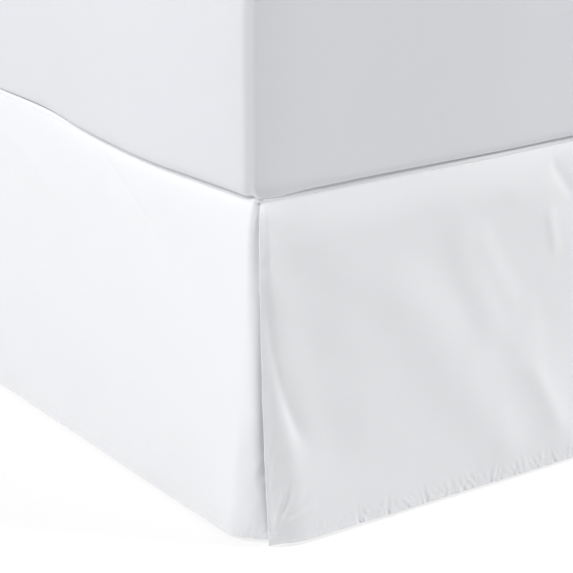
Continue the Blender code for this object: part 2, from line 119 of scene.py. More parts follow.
# The bed.
MATTRESS_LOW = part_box("mattress")[0].z
MATTRESS_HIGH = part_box("mattress")[1].z
BOX_SPRING_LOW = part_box("box_spring")[0].z

# A block's edges take up the levels below and above these, and its wall the levels between.
LOW_LEVEL = 0.25
HIGH_LEVEL = 0.75

# A block's grid: its step near the edges, how far in that reaches, and its step beyond.
MATTRESS_GRID = (0.0025, 0.045, 0.013)
BOX_SPRING_GRID = (0.005, 0.060, 0.040)

# An end hem's stitches start this far below the seam. A stitch takes up this share of its pitch to
# each side and lies this share of its thread above the cloth, whose slope is taken this far apart.
STITCH_START = 0.002
STITCH_REACH = 0.46
STITCH_RISE = 0.22
STITCH_PROBE = 0.0004

# Distances between a hem's puckers: its crests, the fine ones at its edge and the wide ones. The
# puckers are stronger in patches, and lean one way or the other.
CREST_PITCH = 0.0090
FINE_PITCH = 0.0052
WIDE_PITCH = 0.024
PATCH_PITCH = 0.031
LEAN_PITCH = 0.045

# A cut edge is rounded by this percentage of its thickness, where it turns by more than the angle.
ROUNDED_PERCENT = 26.0
ROUNDED_ANGLE = math.radians(60)

# The deck's edge: its steps along the sides, its places across the foot and round a corner.
DECK_STEP = 0.0025
DECK_COLUMNS = 584
DECK_CORNER_PLACES = 25

# A block's rounded corner is sharp again this far in from its walls.
CORNER_DEPTH = 0.12

# The mattress's swelling starts at this share of its half width or length, and fades in over that.
SWELL_START = 0.85
SWELL_FADE = 0.13

# The stage.
FLOOR_SIZE = 40.0
LIGHT_AIM = (-0.4, -0.8, 0.35)
KEY_PLACE, KEY_SIZE = (-4.7, -0.4, 4.4), (1.6, 1.4)
SIDE_PLACE, SIDE_SIZE = (3.2, -3.7, 7.5), (2.8, 2.8)
SENSOR_WIDTH = 36.0

# A soft fold runs along a line from its upper to its lower end. bow bends the line sideways,
# width is its half width and height is how far it stands out, or in where negative.
Fold = namedtuple("Fold", "run_top z_top run_low z_low bow width height")

# A bulge pushes an edge out: run from the foot or the left, half length, distance.
Bulge = namedtuple("Bulge", "run half_length out")

# Where the mattress's lower edge is rounder: run, half length, more inset, more height.
Rounding = namedtuple("Rounding", "run half_length inset height")


def in_millimetres(kind, *rows):
    """Rows of a table that is written in millimetres, turned to metres."""
    return tuple(kind(*(value / 1000 for value in row)) for row in rows)


# run is the distance from the left foot corner.
FOOT_FOLDS = in_millimetres(
    Fold,
    (18, 290, 62, 130, 8, 14, -2.2),
    (-6, 270, -2, 50, 0, 12, 3.2),
    (30, 380, 100, 100, 0, 45, -3.6),
    (190, 285, 365, 45, 0, 40, 4.2),
    (272, 335, 335, 200, 0, 24, 2.8),
    (375, 170, 455, 30, 0, 30, 3),
    (425, 390, 475, 320, 0, 26, -2.6),
    (560, 340, 520, 50, 12, 60, -3.6),
    (690, 370, 640, 60, -10, 55, 4),
    (830, 330, 880, 40, 12, 60, -3.4),
    (980, 360, 950, 90, 0, 50, 3.6),
    (1130, 310, 1060, 50, 15, 55, -3.6),
    (1270, 350, 1200, 70, 0, 45, 3.4),
    (1390, 370, 1330, 100, -8, 42, -3.4),
    (1495, 270, 1445, 50, 8, 28, -3.4),
)

# run is the distance from the foot corner towards the head.
LEFT_FOLDS = in_millimetres(
    Fold,
    (590, 378, 420, 310, 0, 26, 2.8),
    (565, 330, 470, 280, 0, 24, -2.4),
    (310, 394, 200, 330, 6, 24, -2.4),
    (260, 330, 170, 90, 20, 70, 3.4),
    (480, 250, 380, 50, 10, 60, -3.4),
    (680, 360, 620, 60, -12, 55, 3.4),
    (850, 320, 800, 50, 10, 60, -3.4),
    (1010, 370, 1050, 70, 0, 50, 3.6),
    (1190, 340, 1160, 40, 12, 60, -3.2),
    (1370, 360, 1330, 80, -10, 50, 3.4),
    (1540, 310, 1590, 50, 10, 60, -3.4),
    (1740, 370, 1700, 70, 0, 55, 3.6),
    (1910, 330, 1950, 40, 6, 45, -3),
)

RIGHT_FOLDS = in_millimetres(
    Fold,
    (130, 360, 200, 120, 8, 50, 3),
    (300, 330, 350, 40, -10, 60, -3.4),
    (470, 380, 430, 100, 0, 50, 3.4),
    (640, 320, 700, 50, 14, 60, -3.2),
    (860, 370, 820, 70, 0, 55, 3.6),
    (1040, 340, 1000, 40, -10, 55, -3.4),
    (1220, 360, 1270, 90, 8, 50, 3.4),
    (1430, 330, 1400, 50, 0, 60, -3.2),
    (1620, 380, 1580, 60, 12, 50, 3.6),
    (1820, 340, 1860, 40, -6, 55, -3.2),
)

# Creases are narrow folds, in the same columns. They are too fine for the frame's solids.
FOOT_CREASES = in_millimetres(
    Fold,
    (14, 290, 52, 145, 7, 6.5, -1.5),
    (36, 70, 27, 30, 0, 3, 0.9),
    (58, 68, 33, 34, 1, 3.2, 1),
    (74, 44, 36, 30, 1, 3.4, 0.9),
    (43, 76, 35, 45, 0, 2.8, -1),
    (66, 56, 46, 36, 1, 3, -0.9),
    (395, 140, 440, 62, 0, 12, 1.6),
    (305, 325, 362, 228, 0, 14, 1.4),
    (418, 388, 446, 352, 1, 6, -1.6),
    (412, 330, 424, 285, 0, 8, 1.4),
)

LEFT_CREASES = in_millimetres(
    Fold,
    (308, 394, 206, 338, 4, 7, -1.2),
    (300, 402, 215, 356, 3, 8, 0.9),
    (580, 382, 440, 322, 0, 12, 1.2),
    (560, 352, 480, 312, 0, 10, -1.2),
    (-4, 122, 22, 98, 1, 3.6, 1.6),
    (-6, 112, 16, 87, 1, 3.8, -1.8),
    (-2, 102, 10, 80, 0, 3.4, 0.9),
    (30, 70, 26, 58, 0, 7, -1.2),
    (4, 384, 30, 378, 1, 2.6, 0.9),
    (2, 379, 28, 370, 1, 2.8, -1),
)

RIGHT_CREASES = in_millimetres(
    Fold,
    (8, 150, 40, 118, 2, 4.5, 2),
    (10, 136, 34, 102, 2, 5, -2.2),
    (410, 392, 330, 352, 3, 8, -1),
    (1060, 390, 980, 340, 3, 9, 1),
    (1700, 388, 1640, 345, 2, 8, -1),
)

# Where the mattress pushes an edge of the deck out.
LEFT_BULGES = in_millimetres(
    Bulge,
    (190, 120, 9.5),
    (275, 190, 7.5),
    (980, 260, 4),
    (1660, 220, 5),
)
RIGHT_BULGES = in_millimetres(
    Bulge,
    (480, 240, 6),
    (1260, 200, 8),
    (1800, 140, 3),
)
FOOT_BULGES = in_millimetres(Bulge, (325, 110, 5.5), (930, 240, 3.5))
BULGE_DROP = 0.130

# The mattress: how far it stands in from the skirt, its roundings and where its sides swell.
MATTRESS_INSET = 0.0046
MATTRESS_FOOT_INSET = 0.0004
MATTRESS_CORNER_LOW = 0.022
MATTRESS_CORNER = 0.010
MATTRESS_CORNER_TOP = 0.034
MATTRESS_TOP_EDGE = 0.026
MATTRESS_LEFT_SWELL = in_millimetres(
    Bulge,
    (210, 250, 26.5),
    (1050, 300, 6),
    (1700, 240, 8),
)
MATTRESS_RIGHT_SWELL = in_millimetres(
    Bulge,
    (450, 260, 9),
    (1240, 280, 11),
    (1820, 160, 5),
)
MATTRESS_FOOT_SWELL = in_millimetres(Bulge, (330, 100, 3.5), (900, 200, 5))

# The mattress's lower edge, which is rounder in places.
LOWER_EDGE_INSET = 0.005
LOWER_EDGE_HEIGHT = 0.010
LEFT_ROUNDINGS = in_millimetres(
    Rounding,
    (45, 40, 5, 6),
    (110, 70, 9, 12),
    (270, 110, 6, 10),
    (470, 100, 10, 14),
)
FOOT_ROUNDINGS = in_millimetres(Rounding, (30, 60, 0, 6))

# Near its foot corners the mattress is softer: inset at the corner and its reach along the wall.
SOFT_FOOT = (0.0055, 0.060)
SOFT_SIDE = (0.0050, 0.050)
CORNER_DROOP = 0.0045
DROOP_RUN = 0.022
DROOP_REACH = 0.030


def length_property(name, description, default, low):
    return FloatProperty(
        name=name, description=description, default=default, min=low, unit="LENGTH"
    )


def power_property(name, description, default):
    return FloatProperty(name=name, description=description, default=default, min=0.0, unit="POWER")


def angle_property(name, description, degrees):
    return FloatProperty(
        name=name, description=description, default=math.radians(degrees), subtype="ANGLE"
    )


def strength_property(name, description, default):
    return FloatProperty(name=name, description=description, default=default, min=0.0)


def colour_property(name, description, default):
    return FloatVectorProperty(
        name=name, description=description, default=default, min=0.0, max=1.0, subtype="COLOR"
    )


class SkirtSettings(bpy.types.PropertyGroup):
    """Sizes and colours of the bed skirt."""

    cloth: length_property("Cloth", "Thickness of one layer", 0.0008, 0.0002)
    hem_cloth: length_property("Hem", "Thickness where the hem is turned", 0.0017, 0.0004)
    hem_width: length_property(
        "Hem width", "From a hem's fold to its line of stitches", 0.0127, 0.004
    )
    pucker: length_property(
        "Pucker", "Height of the puckers that the stitching draws in", 0.00090, 0.0
    )
    stitch_pitch: length_property(
        "Stitch pitch", "Distance from one stitch to the next", 0.0030, 0.001
    )
    thread: length_property("Thread", "Diameter of the sewing thread", 0.00030, 0.0001)
    weave: length_property("Weave", "Distance between two threads of the cloth", 0.00032, 0.0001)
    colour: colour_property("Cloth colour", "Colour of the skirt's cloth", (0.880, 0.888, 0.910))


class BedSettings(bpy.types.PropertyGroup):
    """Colours of the bed that carries the skirt."""

    sheet_colour: colour_property(
        "Fitted sheet", "Colour of the fitted sheet on the mattress", (0.757, 0.763, 0.796)
    )
    box_spring_colour: colour_property(
        "Box spring", "Colour of the box spring's cover", (0.66, 0.65, 0.62)
    )
    steel_colour: colour_property(
        "Frame", "Colour of the frame's powder coat", (0.030, 0.030, 0.033)
    )
    glide_colour: colour_property("Glides", "Colour of the plastic feet", (0.020, 0.020, 0.021))


class StageSettings(bpy.types.PropertyGroup):
    """The camera, the lights and the floor."""

    camera_place: FloatVectorProperty(
        name="Camera",
        description="Place of the camera",
        subtype="TRANSLATION",
        unit="LENGTH",
        default=(-1.922, -2.730, 1.050),
    )
    camera_pitch: angle_property("Pitch", "How far the camera looks down", 19.37)
    camera_yaw: angle_property("Yaw", "How far the camera looks to the right of +Y", 34.92)
    lens: FloatProperty(
        name="Lens",
        description="Focal length on a 36 mm sensor",
        default=129.42,
        min=10.0,
        unit="CAMERA",
    )
    sky: strength_property("Sky", "Strength of the even light from all round", 0.05)
    key: power_property("Key light", "Power of the large light on the left", 248.0)
    side: power_property("Side light", "Power of the large light on the right", 672.0)
    floor_colour: colour_property("Floor", "Colour of the floor", (0.27, 0.27, 0.27))
    floor_glow: strength_property("Floor glow", "Light that the floor gives off by itself", 0.745)


# Shape of the cloth


def ease(share):
    """0 to 1 with no corner at either end."""
    share = np.clip(share, 0.0, 1.0)
    return share * share * (3.0 - 2.0 * share)


def blend(start, end, share):
    return start + (end - start) * share


def bell(distance, width):
    return np.exp(-((distance / width) ** 2))


def fold_height(fold, run, z):
    """How far one fold moves the cloth at each place on its drop."""
    line_run = fold.run_low - fold.run_top
    line_z = fold.z_low - fold.z_top
    length = math.hypot(line_run, line_z)
    along = ((run - fold.run_top) * line_run + (z - fold.z_top) * line_z) / length**2
    across = ((run - fold.run_top) * line_z - (z - fold.z_top) * line_run) / length
    across = across - 4.0 * fold.bow * along * (1.0 - along)
    fade = ease((along + FOLD_PAST) / FOLD_FADE) * ease((1.0 + FOLD_PAST - along) / FOLD_FADE)
    return fold.height * fade * bell(across, fold.width)


def cloth_relief(folds, run, z):
    """All folds together, quiet at the seam, where the deck holds the cloth straight."""
    hold = ease((SEAM_HEIGHT - z) / SEAM_HOLD)
    return hold * sum(fold_height(fold, run, z) for fold in folds)


def crease_relief(creases, run, z):
    """The creases, which come closer to the seam than the folds do."""
    hold = ease((SEAM_HEIGHT - z) / CREASE_HOLD)
    return hold * sum(fold_height(crease, run, z) for crease in creases)


def swell(bulges, run):
    """How far the bulges push an edge out at each distance from the foot."""
    return sum(bulge.out * bell(run - bulge.run, bulge.half_length) for bulge in bulges)


def drop_bulge(bulges, run, z):
    """The deck edge's bulge, dying out down the drop."""
    return swell(bulges, run) * (1.0 - ease((SEAM_HEIGHT - z) / BULGE_DROP))


def shoulder(z, inset):
    """How far the cloth draws in under the seam, where it bends over the bed's edge."""
    share = np.clip((SEAM_HEIGHT - z) / SHOULDER_DROP, 0.0, 1.0)
    return inset * (1.0 - share) ** 2


def fallen_share(z):
    return np.clip((SEAM_HEIGHT - z) / DROP_LENGTH, 0.0, 1.1)


def corner_radius(z):
    """The skirt's corner opens out from the seam to the hem."""
    return blend(CORNER_RADIUS_SEAM, CORNER_RADIUS_HEM, fallen_share(z) ** CORNER_OPENING)


def round_corner(run, radius):
    """A cloth's path round a corner: run is measured along its own wall, from the sharp corner.

    Returns the place along the wall, the inset from the wall's plane and the outward normal's
    two parts. The path follows the wall, then the arc, then the next wall.
    """
    turned = np.maximum((radius - run) / radius, 0.0)
    angle = np.minimum(turned, math.pi / 2)
    beyond = (turned - angle) * radius
    along = np.where(run >= radius, run, radius * (1.0 - np.sin(angle)))
    inset = radius * (1.0 - np.cos(angle)) + beyond
    return along, inset, -np.sin(angle), -np.cos(angle)


def split_angle(z):
    """How far round the corner the foot drop's hemmed end lies: a little past its middle."""
    return blend(SPLIT_ANGLE_SEAM, SPLIT_ANGLE_HEM, fallen_share(z) ** SPLIT_OPENING)


def split_run(z):
    return corner_radius(z) * (1.0 - split_angle(z))


def drop_height(run, below):
    """Height of a place on a drop. The hem ripples by about a millimetre over the floor."""
    ripple_height = HEM_RIPPLE * (1.0 + np.sin(run * 19.0) * np.sin(run * 7.0 + 1.0))
    return SEAM_HEIGHT + SEAM_LAP - below + ripple_height * (below / DROP_LENGTH)


def side_tuck(angle, z):
    """How far a side drop draws in on its way behind the foot drop.

    It falls in deepest at the middle of the corner, below the box spring, where nothing backs it.
    """
    behind = ease(angle / TUCK_ANGLE)
    pocket = behind * ease((POCKET_END_ANGLE - angle) / POCKET_END_FADE)
    upper = POCKET_UPPER * ease((POCKET_UPPER_TOP - z) / POCKET_UPPER_FADE)
    lower = POCKET_LOWER * ease((BOX_SPRING_LOW - z) / POCKET_LOWER_FADE)
    sewn = ease((z - SPLIT_TOP) / SPLIT_FADE)
    return (1.0 - TUCK_LOST * sewn) * TUCK * behind + (upper + lower) * pocket


# Sewing


def ripple(distance, pitch, seed):
    """An uneven wave between -1 and 1, with about one crest in each pitch."""
    rng = np.random.default_rng(seed)
    start = float(distance.min()) - 2.0 * pitch
    count = int((float(distance.max()) - start) / (0.3 * pitch)) + 8
    knots = start + np.cumsum(rng.uniform(0.3, 0.75, count)) * pitch
    heights = rng.uniform(0.25, 1.0, count) * (-1.0) ** np.arange(count)
    left = np.clip(np.searchsorted(knots, distance) - 1, 0, count - 2)
    share = ease((distance - knots[left]) / (knots[left + 1] - knots[left]))
    return blend(heights[left], heights[left + 1], share)


def hem_relief(settings, along, from_fold, strength, seed):
    """A stitched hem: its raised turn and the puckers that its stitches draw in.

    along runs along the hem, from_fold is the distance in from its folded edge and strength
    says how strongly it puckers.
    """
    width = settings.hem_width
    inside = from_fold - width
    lean = 0.5 + 0.9 * ripple(along, LEAN_PITCH, seed + 1)
    crest = ripple(along + lean * inside, CREST_PITCH, seed)
    fine = ripple(along - 0.4 * lean * inside, FINE_PITCH, seed + 3)
    wide = ripple(along - lean * inside, WIDE_PITCH, seed + 2)
    patchy = 0.65 + 0.45 * ripple(along, PATCH_PITCH, seed + 4)
    reach = np.where(inside < 0.0, blend(1.0, 0.8, -inside / width), bell(inside, 0.75 * width))
    edge = bell(from_fold - 0.002, 0.0055)
    puckers = reach * (0.55 * crest + 0.4 * wide) + 1.1 * edge * fine
    puckers *= settings.pucker * strength * patchy
    turned = 0.00006 * (1.0 - ease((inside + 0.0006) / 0.0022))
    rolled = 0.00035 * bell(from_fold - 0.001, 0.0014)
    return puckers + turned + rolled


def soft_waves(run, z, seed):
    """The cloth's own slight unevenness, a few centimetres across."""
    first = ripple(run + 0.35 * z, 0.090, seed) * ripple(z - 0.25 * run, 0.110, seed + 1)
    second = ripple(run - 0.5 * z, 0.041, seed + 2) * ripple(z + 0.3 * run, 0.055, seed + 3)
    hold = ease((SEAM_HEIGHT - z) / 0.05)
    return hold * (0.00050 * first + 0.00016 * second)


def seam_relief(below, along, depth, seed):
    """The turned edge at the seam and the light puckers under it."""
    turned = -depth * bell(below, 0.0012)
    puckers = 0.00014 * ripple(along, 0.012, seed) * bell(below - 0.003, 0.007)
    return turned + puckers


# Hanging


def foot_relief(from_left, z):
    """How far the foot drop stands out from its wall, without its creases."""
    relief = cloth_relief(FOOT_FOLDS, from_left, z) + drop_bulge(FOOT_BULGES, from_left, z)
    return relief - shoulder(z, FOOT_SHOULDER_INSET)


def hang_foot(settings, flat):
    """Places of the foot drop. flat holds the distance from its left end and below the seam."""
    cut, below = flat[:, 0], flat[:, 1]
    half = np.where(cut < SKIRT_WIDTH / 2, -1.0, 1.0)
    from_end = np.minimum(cut, SKIRT_WIDTH - cut)
    z = drop_height(cut, below)
    open_end = split_run(z) + 0.0004 * ripple(z, 0.06, 31) * bell(from_end, 0.02)
    eased = blend(open_end, SPLIT_EASE, from_end / SPLIT_EASE)
    run = np.where(from_end < SPLIT_EASE, eased, from_end)
    along, inset, out_along, out_inset = round_corner(run, corner_radius(z))
    from_left = np.where(half < 0, run, SKIRT_WIDTH - run)
    # The end hem puckers most in its upper part and near the floor, and hardly at the seam.
    end_strength = 0.60 + 1.0 * ease((z - 0.300) / 0.04) + 0.6 * bell(z - 0.085, 0.04)
    end_strength *= 1.0 - 0.9 * ease((z - 0.370) / 0.02)
    low_strength = 0.45 + 1.1 * ease((cut - 0.08) / 0.10)
    relief = foot_relief(from_left, z)
    relief += crease_relief(FOOT_CREASES, from_left, z) + soft_waves(cut, z, 40)
    relief += hem_relief(settings, z + half, from_end, end_strength, 51)
    relief += hem_relief(settings, cut, DROP_LENGTH - below, low_strength, 57)
    relief += seam_relief(below, cut, 0.0003 * ease((from_end - 0.04) / 0.05), 61)
    relief -= END_SINK * ease((z - SPLIT_TOP) / SPLIT_FADE) * ease((0.009 - from_end) / 0.008)
    along = along + out_along * relief
    inset = inset + out_inset * relief
    z = z - END_DIP * bell(from_end, 0.012) * (below / DROP_LENGTH) ** 4
    return np.column_stack((half * (SKIRT_WIDTH / 2 - along), inset - SKIRT_LENGTH / 2, z))


Side = namedtuple("Side", "sign folds creases bulges seed")
SIDES = {
    "left": Side(-1.0, LEFT_FOLDS, LEFT_CREASES, LEFT_BULGES, 70),
    "right": Side(1.0, RIGHT_FOLDS, RIGHT_CREASES, RIGHT_BULGES, 90),
}


def hang_side(settings, flat, side):
    """Places of a side drop. flat holds the distance from its foot end and below the seam."""
    cut, below = flat[:, 0], flat[:, 1]
    run = cut - CORNER_WRAP
    z = drop_height(run, below)
    radius = corner_radius(z)
    along, inset, out_along, out_inset = round_corner(run, radius)
    angle = (radius - run) / radius
    foot_run = 2.0 * radius - radius * math.pi / 2 - run
    from_left = foot_run if side.sign < 0 else SKIRT_WIDTH - foot_run
    behind = ease(angle / TUCK_ANGLE)
    own = cloth_relief(side.folds, run, z) + drop_bulge(side.bulges, run, z)
    own -= shoulder(z, SHOULDER_INSET)
    relief = blend(own, foot_relief(from_left, z), behind) - side_tuck(angle, z)
    relief += crease_relief(side.creases, run, z) + soft_waves(run, z, side.seed)
    split = radius * (1.0 - math.pi / 2 + split_angle(z))
    open_share = ease((SPLIT_TOP - z) / SPLIT_FADE)
    depth = (1.0 - 0.85 * ease((z - 0.17) / 0.12)) * (1.0 - 0.45 * ease((0.13 - z) / 0.04))
    relief -= GROOVE * open_share * depth * bell(run - split, GROOVE_WIDTH)
    beside = open_share * bell(run - split - 0.006, 0.010)
    relief += 0.0003 * beside * ripple(z + 0.5 * run, 0.012, side.seed + 16)
    wall = SKIRT_LENGTH + CORNER_WRAP
    relief += hem_relief(settings, z, cut, 0.6, side.seed + 4)
    relief += hem_relief(settings, z, wall - cut, 0.8, side.seed + 7)
    relief += hem_relief(settings, run, DROP_LENGTH - below, 0.65, side.seed + 10)
    relief += seam_relief(below, run, 0.0001, side.seed + 13)
    along = along + out_along * relief
    inset = inset + out_inset * relief
    return np.column_stack((side.sign * (SKIRT_WIDTH / 2 - inset), along - SKIRT_LENGTH / 2, z))


# Meshes


def deselect_all():
    if bpy.context.object and bpy.context.object.mode != "OBJECT":
        bpy.ops.object.mode_set(mode="OBJECT")
    bpy.ops.object.select_all(action="DESELECT")


def make_active(piece):
    deselect_all()
    piece.select_set(True)
    bpy.context.view_layer.objects.active = piece


def read_points(mesh):
    points = np.empty(len(mesh.vertices) * 3, np.float32)
    mesh.vertices.foreach_get("co", points)
    return points.reshape(-1, 3).astype(float)


def write_points(mesh, points):
    mesh.vertices.foreach_set("co", np.asarray(points, np.float32).ravel())
    mesh.update()


def write_uv(mesh, places):
    """Gives every corner its vertex's place in metres as its UV."""
    corners = np.empty(len(mesh.loops), np.int32)
    mesh.loops.foreach_get("vertex_index", corners)
    layer = mesh.uv_layers.active or mesh.uv_layers.new(name="UVMap")
    layer.data.foreach_set("uv", np.asarray(places, np.float32)[corners].ravel())


def finish_piece(piece, name, material):
    """Name, material, body and slot of a finished piece."""
    piece.name = name
    piece.data.name = name
    piece.data.materials.clear()
    piece.data.materials.append(material)
    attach(piece, BODY)


def add_object(name, data):
    thing = bpy.data.objects.new(name, data)
    bpy.context.scene.collection.objects.link(thing)
    return thing


def add_piece(name, points, faces):
    """A new piece in the scene, with its own mesh."""
    mesh = bpy.data.meshes.new(name)
    mesh.from_pydata(points.tolist(), [], faces)
    return add_object(name, mesh)


def face_outwards(piece):
    make_active(piece)
    bpy.ops.object.mode_set(mode="EDIT")
    bpy.ops.mesh.select_all(action="SELECT")
    bpy.ops.mesh.normals_make_consistent(inside=False)
    bpy.ops.object.mode_set(mode="OBJECT")


def grid_faces(columns, rows):
    """Faces between the places of a grid that is stored row by row."""
    lows = [row * columns + column for row in range(rows - 1) for column in range(columns - 1)]
    return [(low, low + 1, low + 1 + columns, low + columns) for low in lows]


def apply_modifier(piece, modifier):
    make_active(piece)
    bpy.ops.object.modifier_apply(modifier=modifier.name)


def stations(*spans):
    """Places from 0 on, in spans of (end, step)."""
    places = [0.0]
    for end, step in spans:
        start = places[-1]
        count = max(1, round((end - start) / step))
        places += [blend(start, end, (index + 1) / count) for index in range(count)]
    return np.array(places)


def cut_flat(columns, rows):
    """A flat grid of cloth. columns are places along its seam and rows are distances below."""
    deselect_all()
    bpy.ops.mesh.primitive_grid_add(
        x_subdivisions=len(columns) - 1, y_subdivisions=len(rows) - 1, size=1.0
    )
    piece = bpy.context.object
    points = read_points(piece.data)
    column = np.rint((points[:, 0] + 0.5) * (len(columns) - 1)).astype(int)
    row = np.rint((0.5 - points[:, 1]) * (len(rows) - 1)).astype(int)
    write_points(piece.data, np.column_stack((columns[column], -rows[row], np.zeros(len(row)))))
    return piece


def faceted(hanger, columns, rows):
    """hanger between a grid's places, along the flat cells that the mesh has there."""
    along, below = np.meshgrid(columns, rows)
    hung = hanger(np.column_stack((along.ravel(), below.ravel())))
    hung = hung.reshape(len(rows), len(columns), 3)

    def place(flat):
        i = np.clip(np.searchsorted(columns, flat[:, 0], side="right") - 1, 0, len(columns) - 2)
        j = np.clip(np.searchsorted(rows, flat[:, 1], side="right") - 1, 0, len(rows) - 2)
        u = ((flat[:, 0] - columns[i]) / (columns[i + 1] - columns[i]))[:, None]
        v = ((flat[:, 1] - rows[j]) / (rows[j + 1] - rows[j]))[:, None]
        upper = blend(hung[j, i], hung[j, i + 1], u)
        lower = blend(hung[j + 1, i], hung[j + 1, i + 1], u)
        return blend(upper, lower, v)

    return place


def thicken(piece, settings, hem_vertices):
    """Gives an outer face its cloth inwards, more at the hems, and rounds the cut edges."""
    group = piece.vertex_groups.new(name="hem")
    group.add([int(index) for index in hem_vertices], 1.0, "REPLACE")
    solid = piece.modifiers.new("thickness", "SOLIDIFY")
    solid.thickness = settings.hem_cloth
    solid.offset = -1.0
    solid.vertex_group = group.name
    solid.thickness_vertex_group = settings.cloth / settings.hem_cloth
    apply_modifier(piece, solid)
    piece.vertex_groups.clear()
    rounding = piece.modifiers.new("rounding", "BEVEL")
    rounding.offset_type = "PERCENT"
    rounding.width_pct = ROUNDED_PERCENT
    rounding.segments = 2
    rounding.limit_method = "ANGLE"
    rounding.angle_limit = ROUNDED_ANGLE
    apply_modifier(piece, rounding)
    make_active(piece)
    bpy.ops.object.shade_smooth()


def drop_rows(settings):
    """Distances below the seam of a drop's rows: close together at the seam and the hem."""
    low = DROP_LENGTH - settings.hem_width
    return stations(
        (0.0030, 0.00075), (0.012, 0.0022), (0.365, 0.0062), (low - 0.0010, 0.0030),
        (low + 0.0010, 0.0010), (DROP_LENGTH - 0.0030, 0.0020), (DROP_LENGTH, 0.0010),
    )


def hang(piece, hanger, settings, length):
    """Moves the flat cut to where it hangs, with its outer face out, and thickens it."""
    flat = read_points(piece.data)[:, :2] * (1.0, -1.0)
    write_uv(piece.data, flat)
    write_points(piece.data, hanger(flat))
    normals = np.array([polygon.normal for polygon in piece.data.polygons])
    centres = np.array([polygon.center for polygon in piece.data.polygons])
    if np.sum(normals[:, :2] * centres[:, :2]) < 0.0:
        piece.data.flip_normals()
    from_end = np.minimum(flat[:, 0], length - flat[:, 0])
    from_hem = np.minimum(from_end, DROP_LENGTH - flat[:, 1])
    thicken(piece, settings, np.flatnonzero(from_hem < settings.hem_width))


def add_threads(settings, name, hanger, lines, material):
    """A row of stitches along each line of flat places, as one joined piece.

    A line is (start, end), each a flat place. The stitches lie in the groove on the cloth.
    """
    starts, directions = [], []
    for start, end in lines:
        start, end = np.array(start), np.array(end)
        length = np.linalg.norm(end - start)
        count = int(length / settings.stitch_pitch)
        steps = (np.arange(count) + 0.5)[:, None] * settings.stitch_pitch
        direction = (end - start) / length
        starts.append(start + steps * direction)
        directions.append(np.repeat(direction[None, :], count, axis=0))
    flat = np.concatenate(starts)
    ahead = np.concatenate(directions)
    aside = np.column_stack((-ahead[:, 1], ahead[:, 0]))
    place = hanger(flat)
    forward = hanger(flat + ahead * STITCH_PROBE) - hanger(flat - ahead * STITCH_PROBE)
    sideways = hanger(flat + aside * STITCH_PROBE) - hanger(flat - aside * STITCH_PROBE)
    forward /= np.linalg.norm(forward, axis=1)[:, None]
    sideways /= np.linalg.norm(sideways, axis=1)[:, None]
    up = np.cross(forward, sideways)
    middle = np.array((0.0, 0.0, place[:, 2].mean()))
    facing = np.sign(np.sum((place - middle) * up, axis=1))
    up *= facing[:, None]

    deselect_all()
    bpy.ops.mesh.primitive_uv_sphere_add(segments=6, ring_count=4, radius=1.0)
    stitch = bpy.context.object
    shape = read_points(stitch.data) * (0.5 * settings.thread, 0.5 * settings.thread, 0.0)
    reach = read_points(stitch.data)[:, 2] * STITCH_REACH * settings.stitch_pitch
    faces = [tuple(polygon.vertices) for polygon in stitch.data.polygons]
    bpy.data.objects.remove(stitch, do_unlink=True)

    count = len(shape)
    points = (
        place[:, None, :]
        + forward[:, None, :] * reach[None, :, None]
        + sideways[:, None, :] * shape[None, :, 0, None]
        + up[:, None, :] * (shape[None, :, 1, None] + STITCH_RISE * settings.thread)
    ).reshape(-1, 3)
    all_faces = []
    for index in range(len(place)):
        all_faces += [tuple(corner + index * count for corner in face) for face in faces]
    threads = add_piece(name, points, all_faces)
    threads.data.shade_smooth()
    write_uv(threads.data, np.column_stack((np.arange(len(points)) * 0.0001, points[:, 2])))
    face_outwards(threads)
    finish_piece(threads, name, material)
    return threads


def add_drop(settings, name, hanger, length, columns, end_hems):
    """A finished drop and its stitches, along its low hem and its end hems' lines."""
    low = DROP_LENGTH - settings.hem_width
    rows = drop_rows(settings)
    drop = cut_flat(columns, rows)
    hang(drop, hanger, settings, length)
    finish_piece(drop, name + "_cloth", skirt_material(settings))
    lines = [((0.0, low), (length, low))]
    lines += [((place, STITCH_START), (place, low)) for place in end_hems]
    thread = shared_material("sewing_thread", thread_finish, settings.colour)
    surface = faceted(hanger, columns, rows)
    threads = add_threads(settings, name + "_stitching", surface, lines, thread)
    return drop, threads


# Finishes


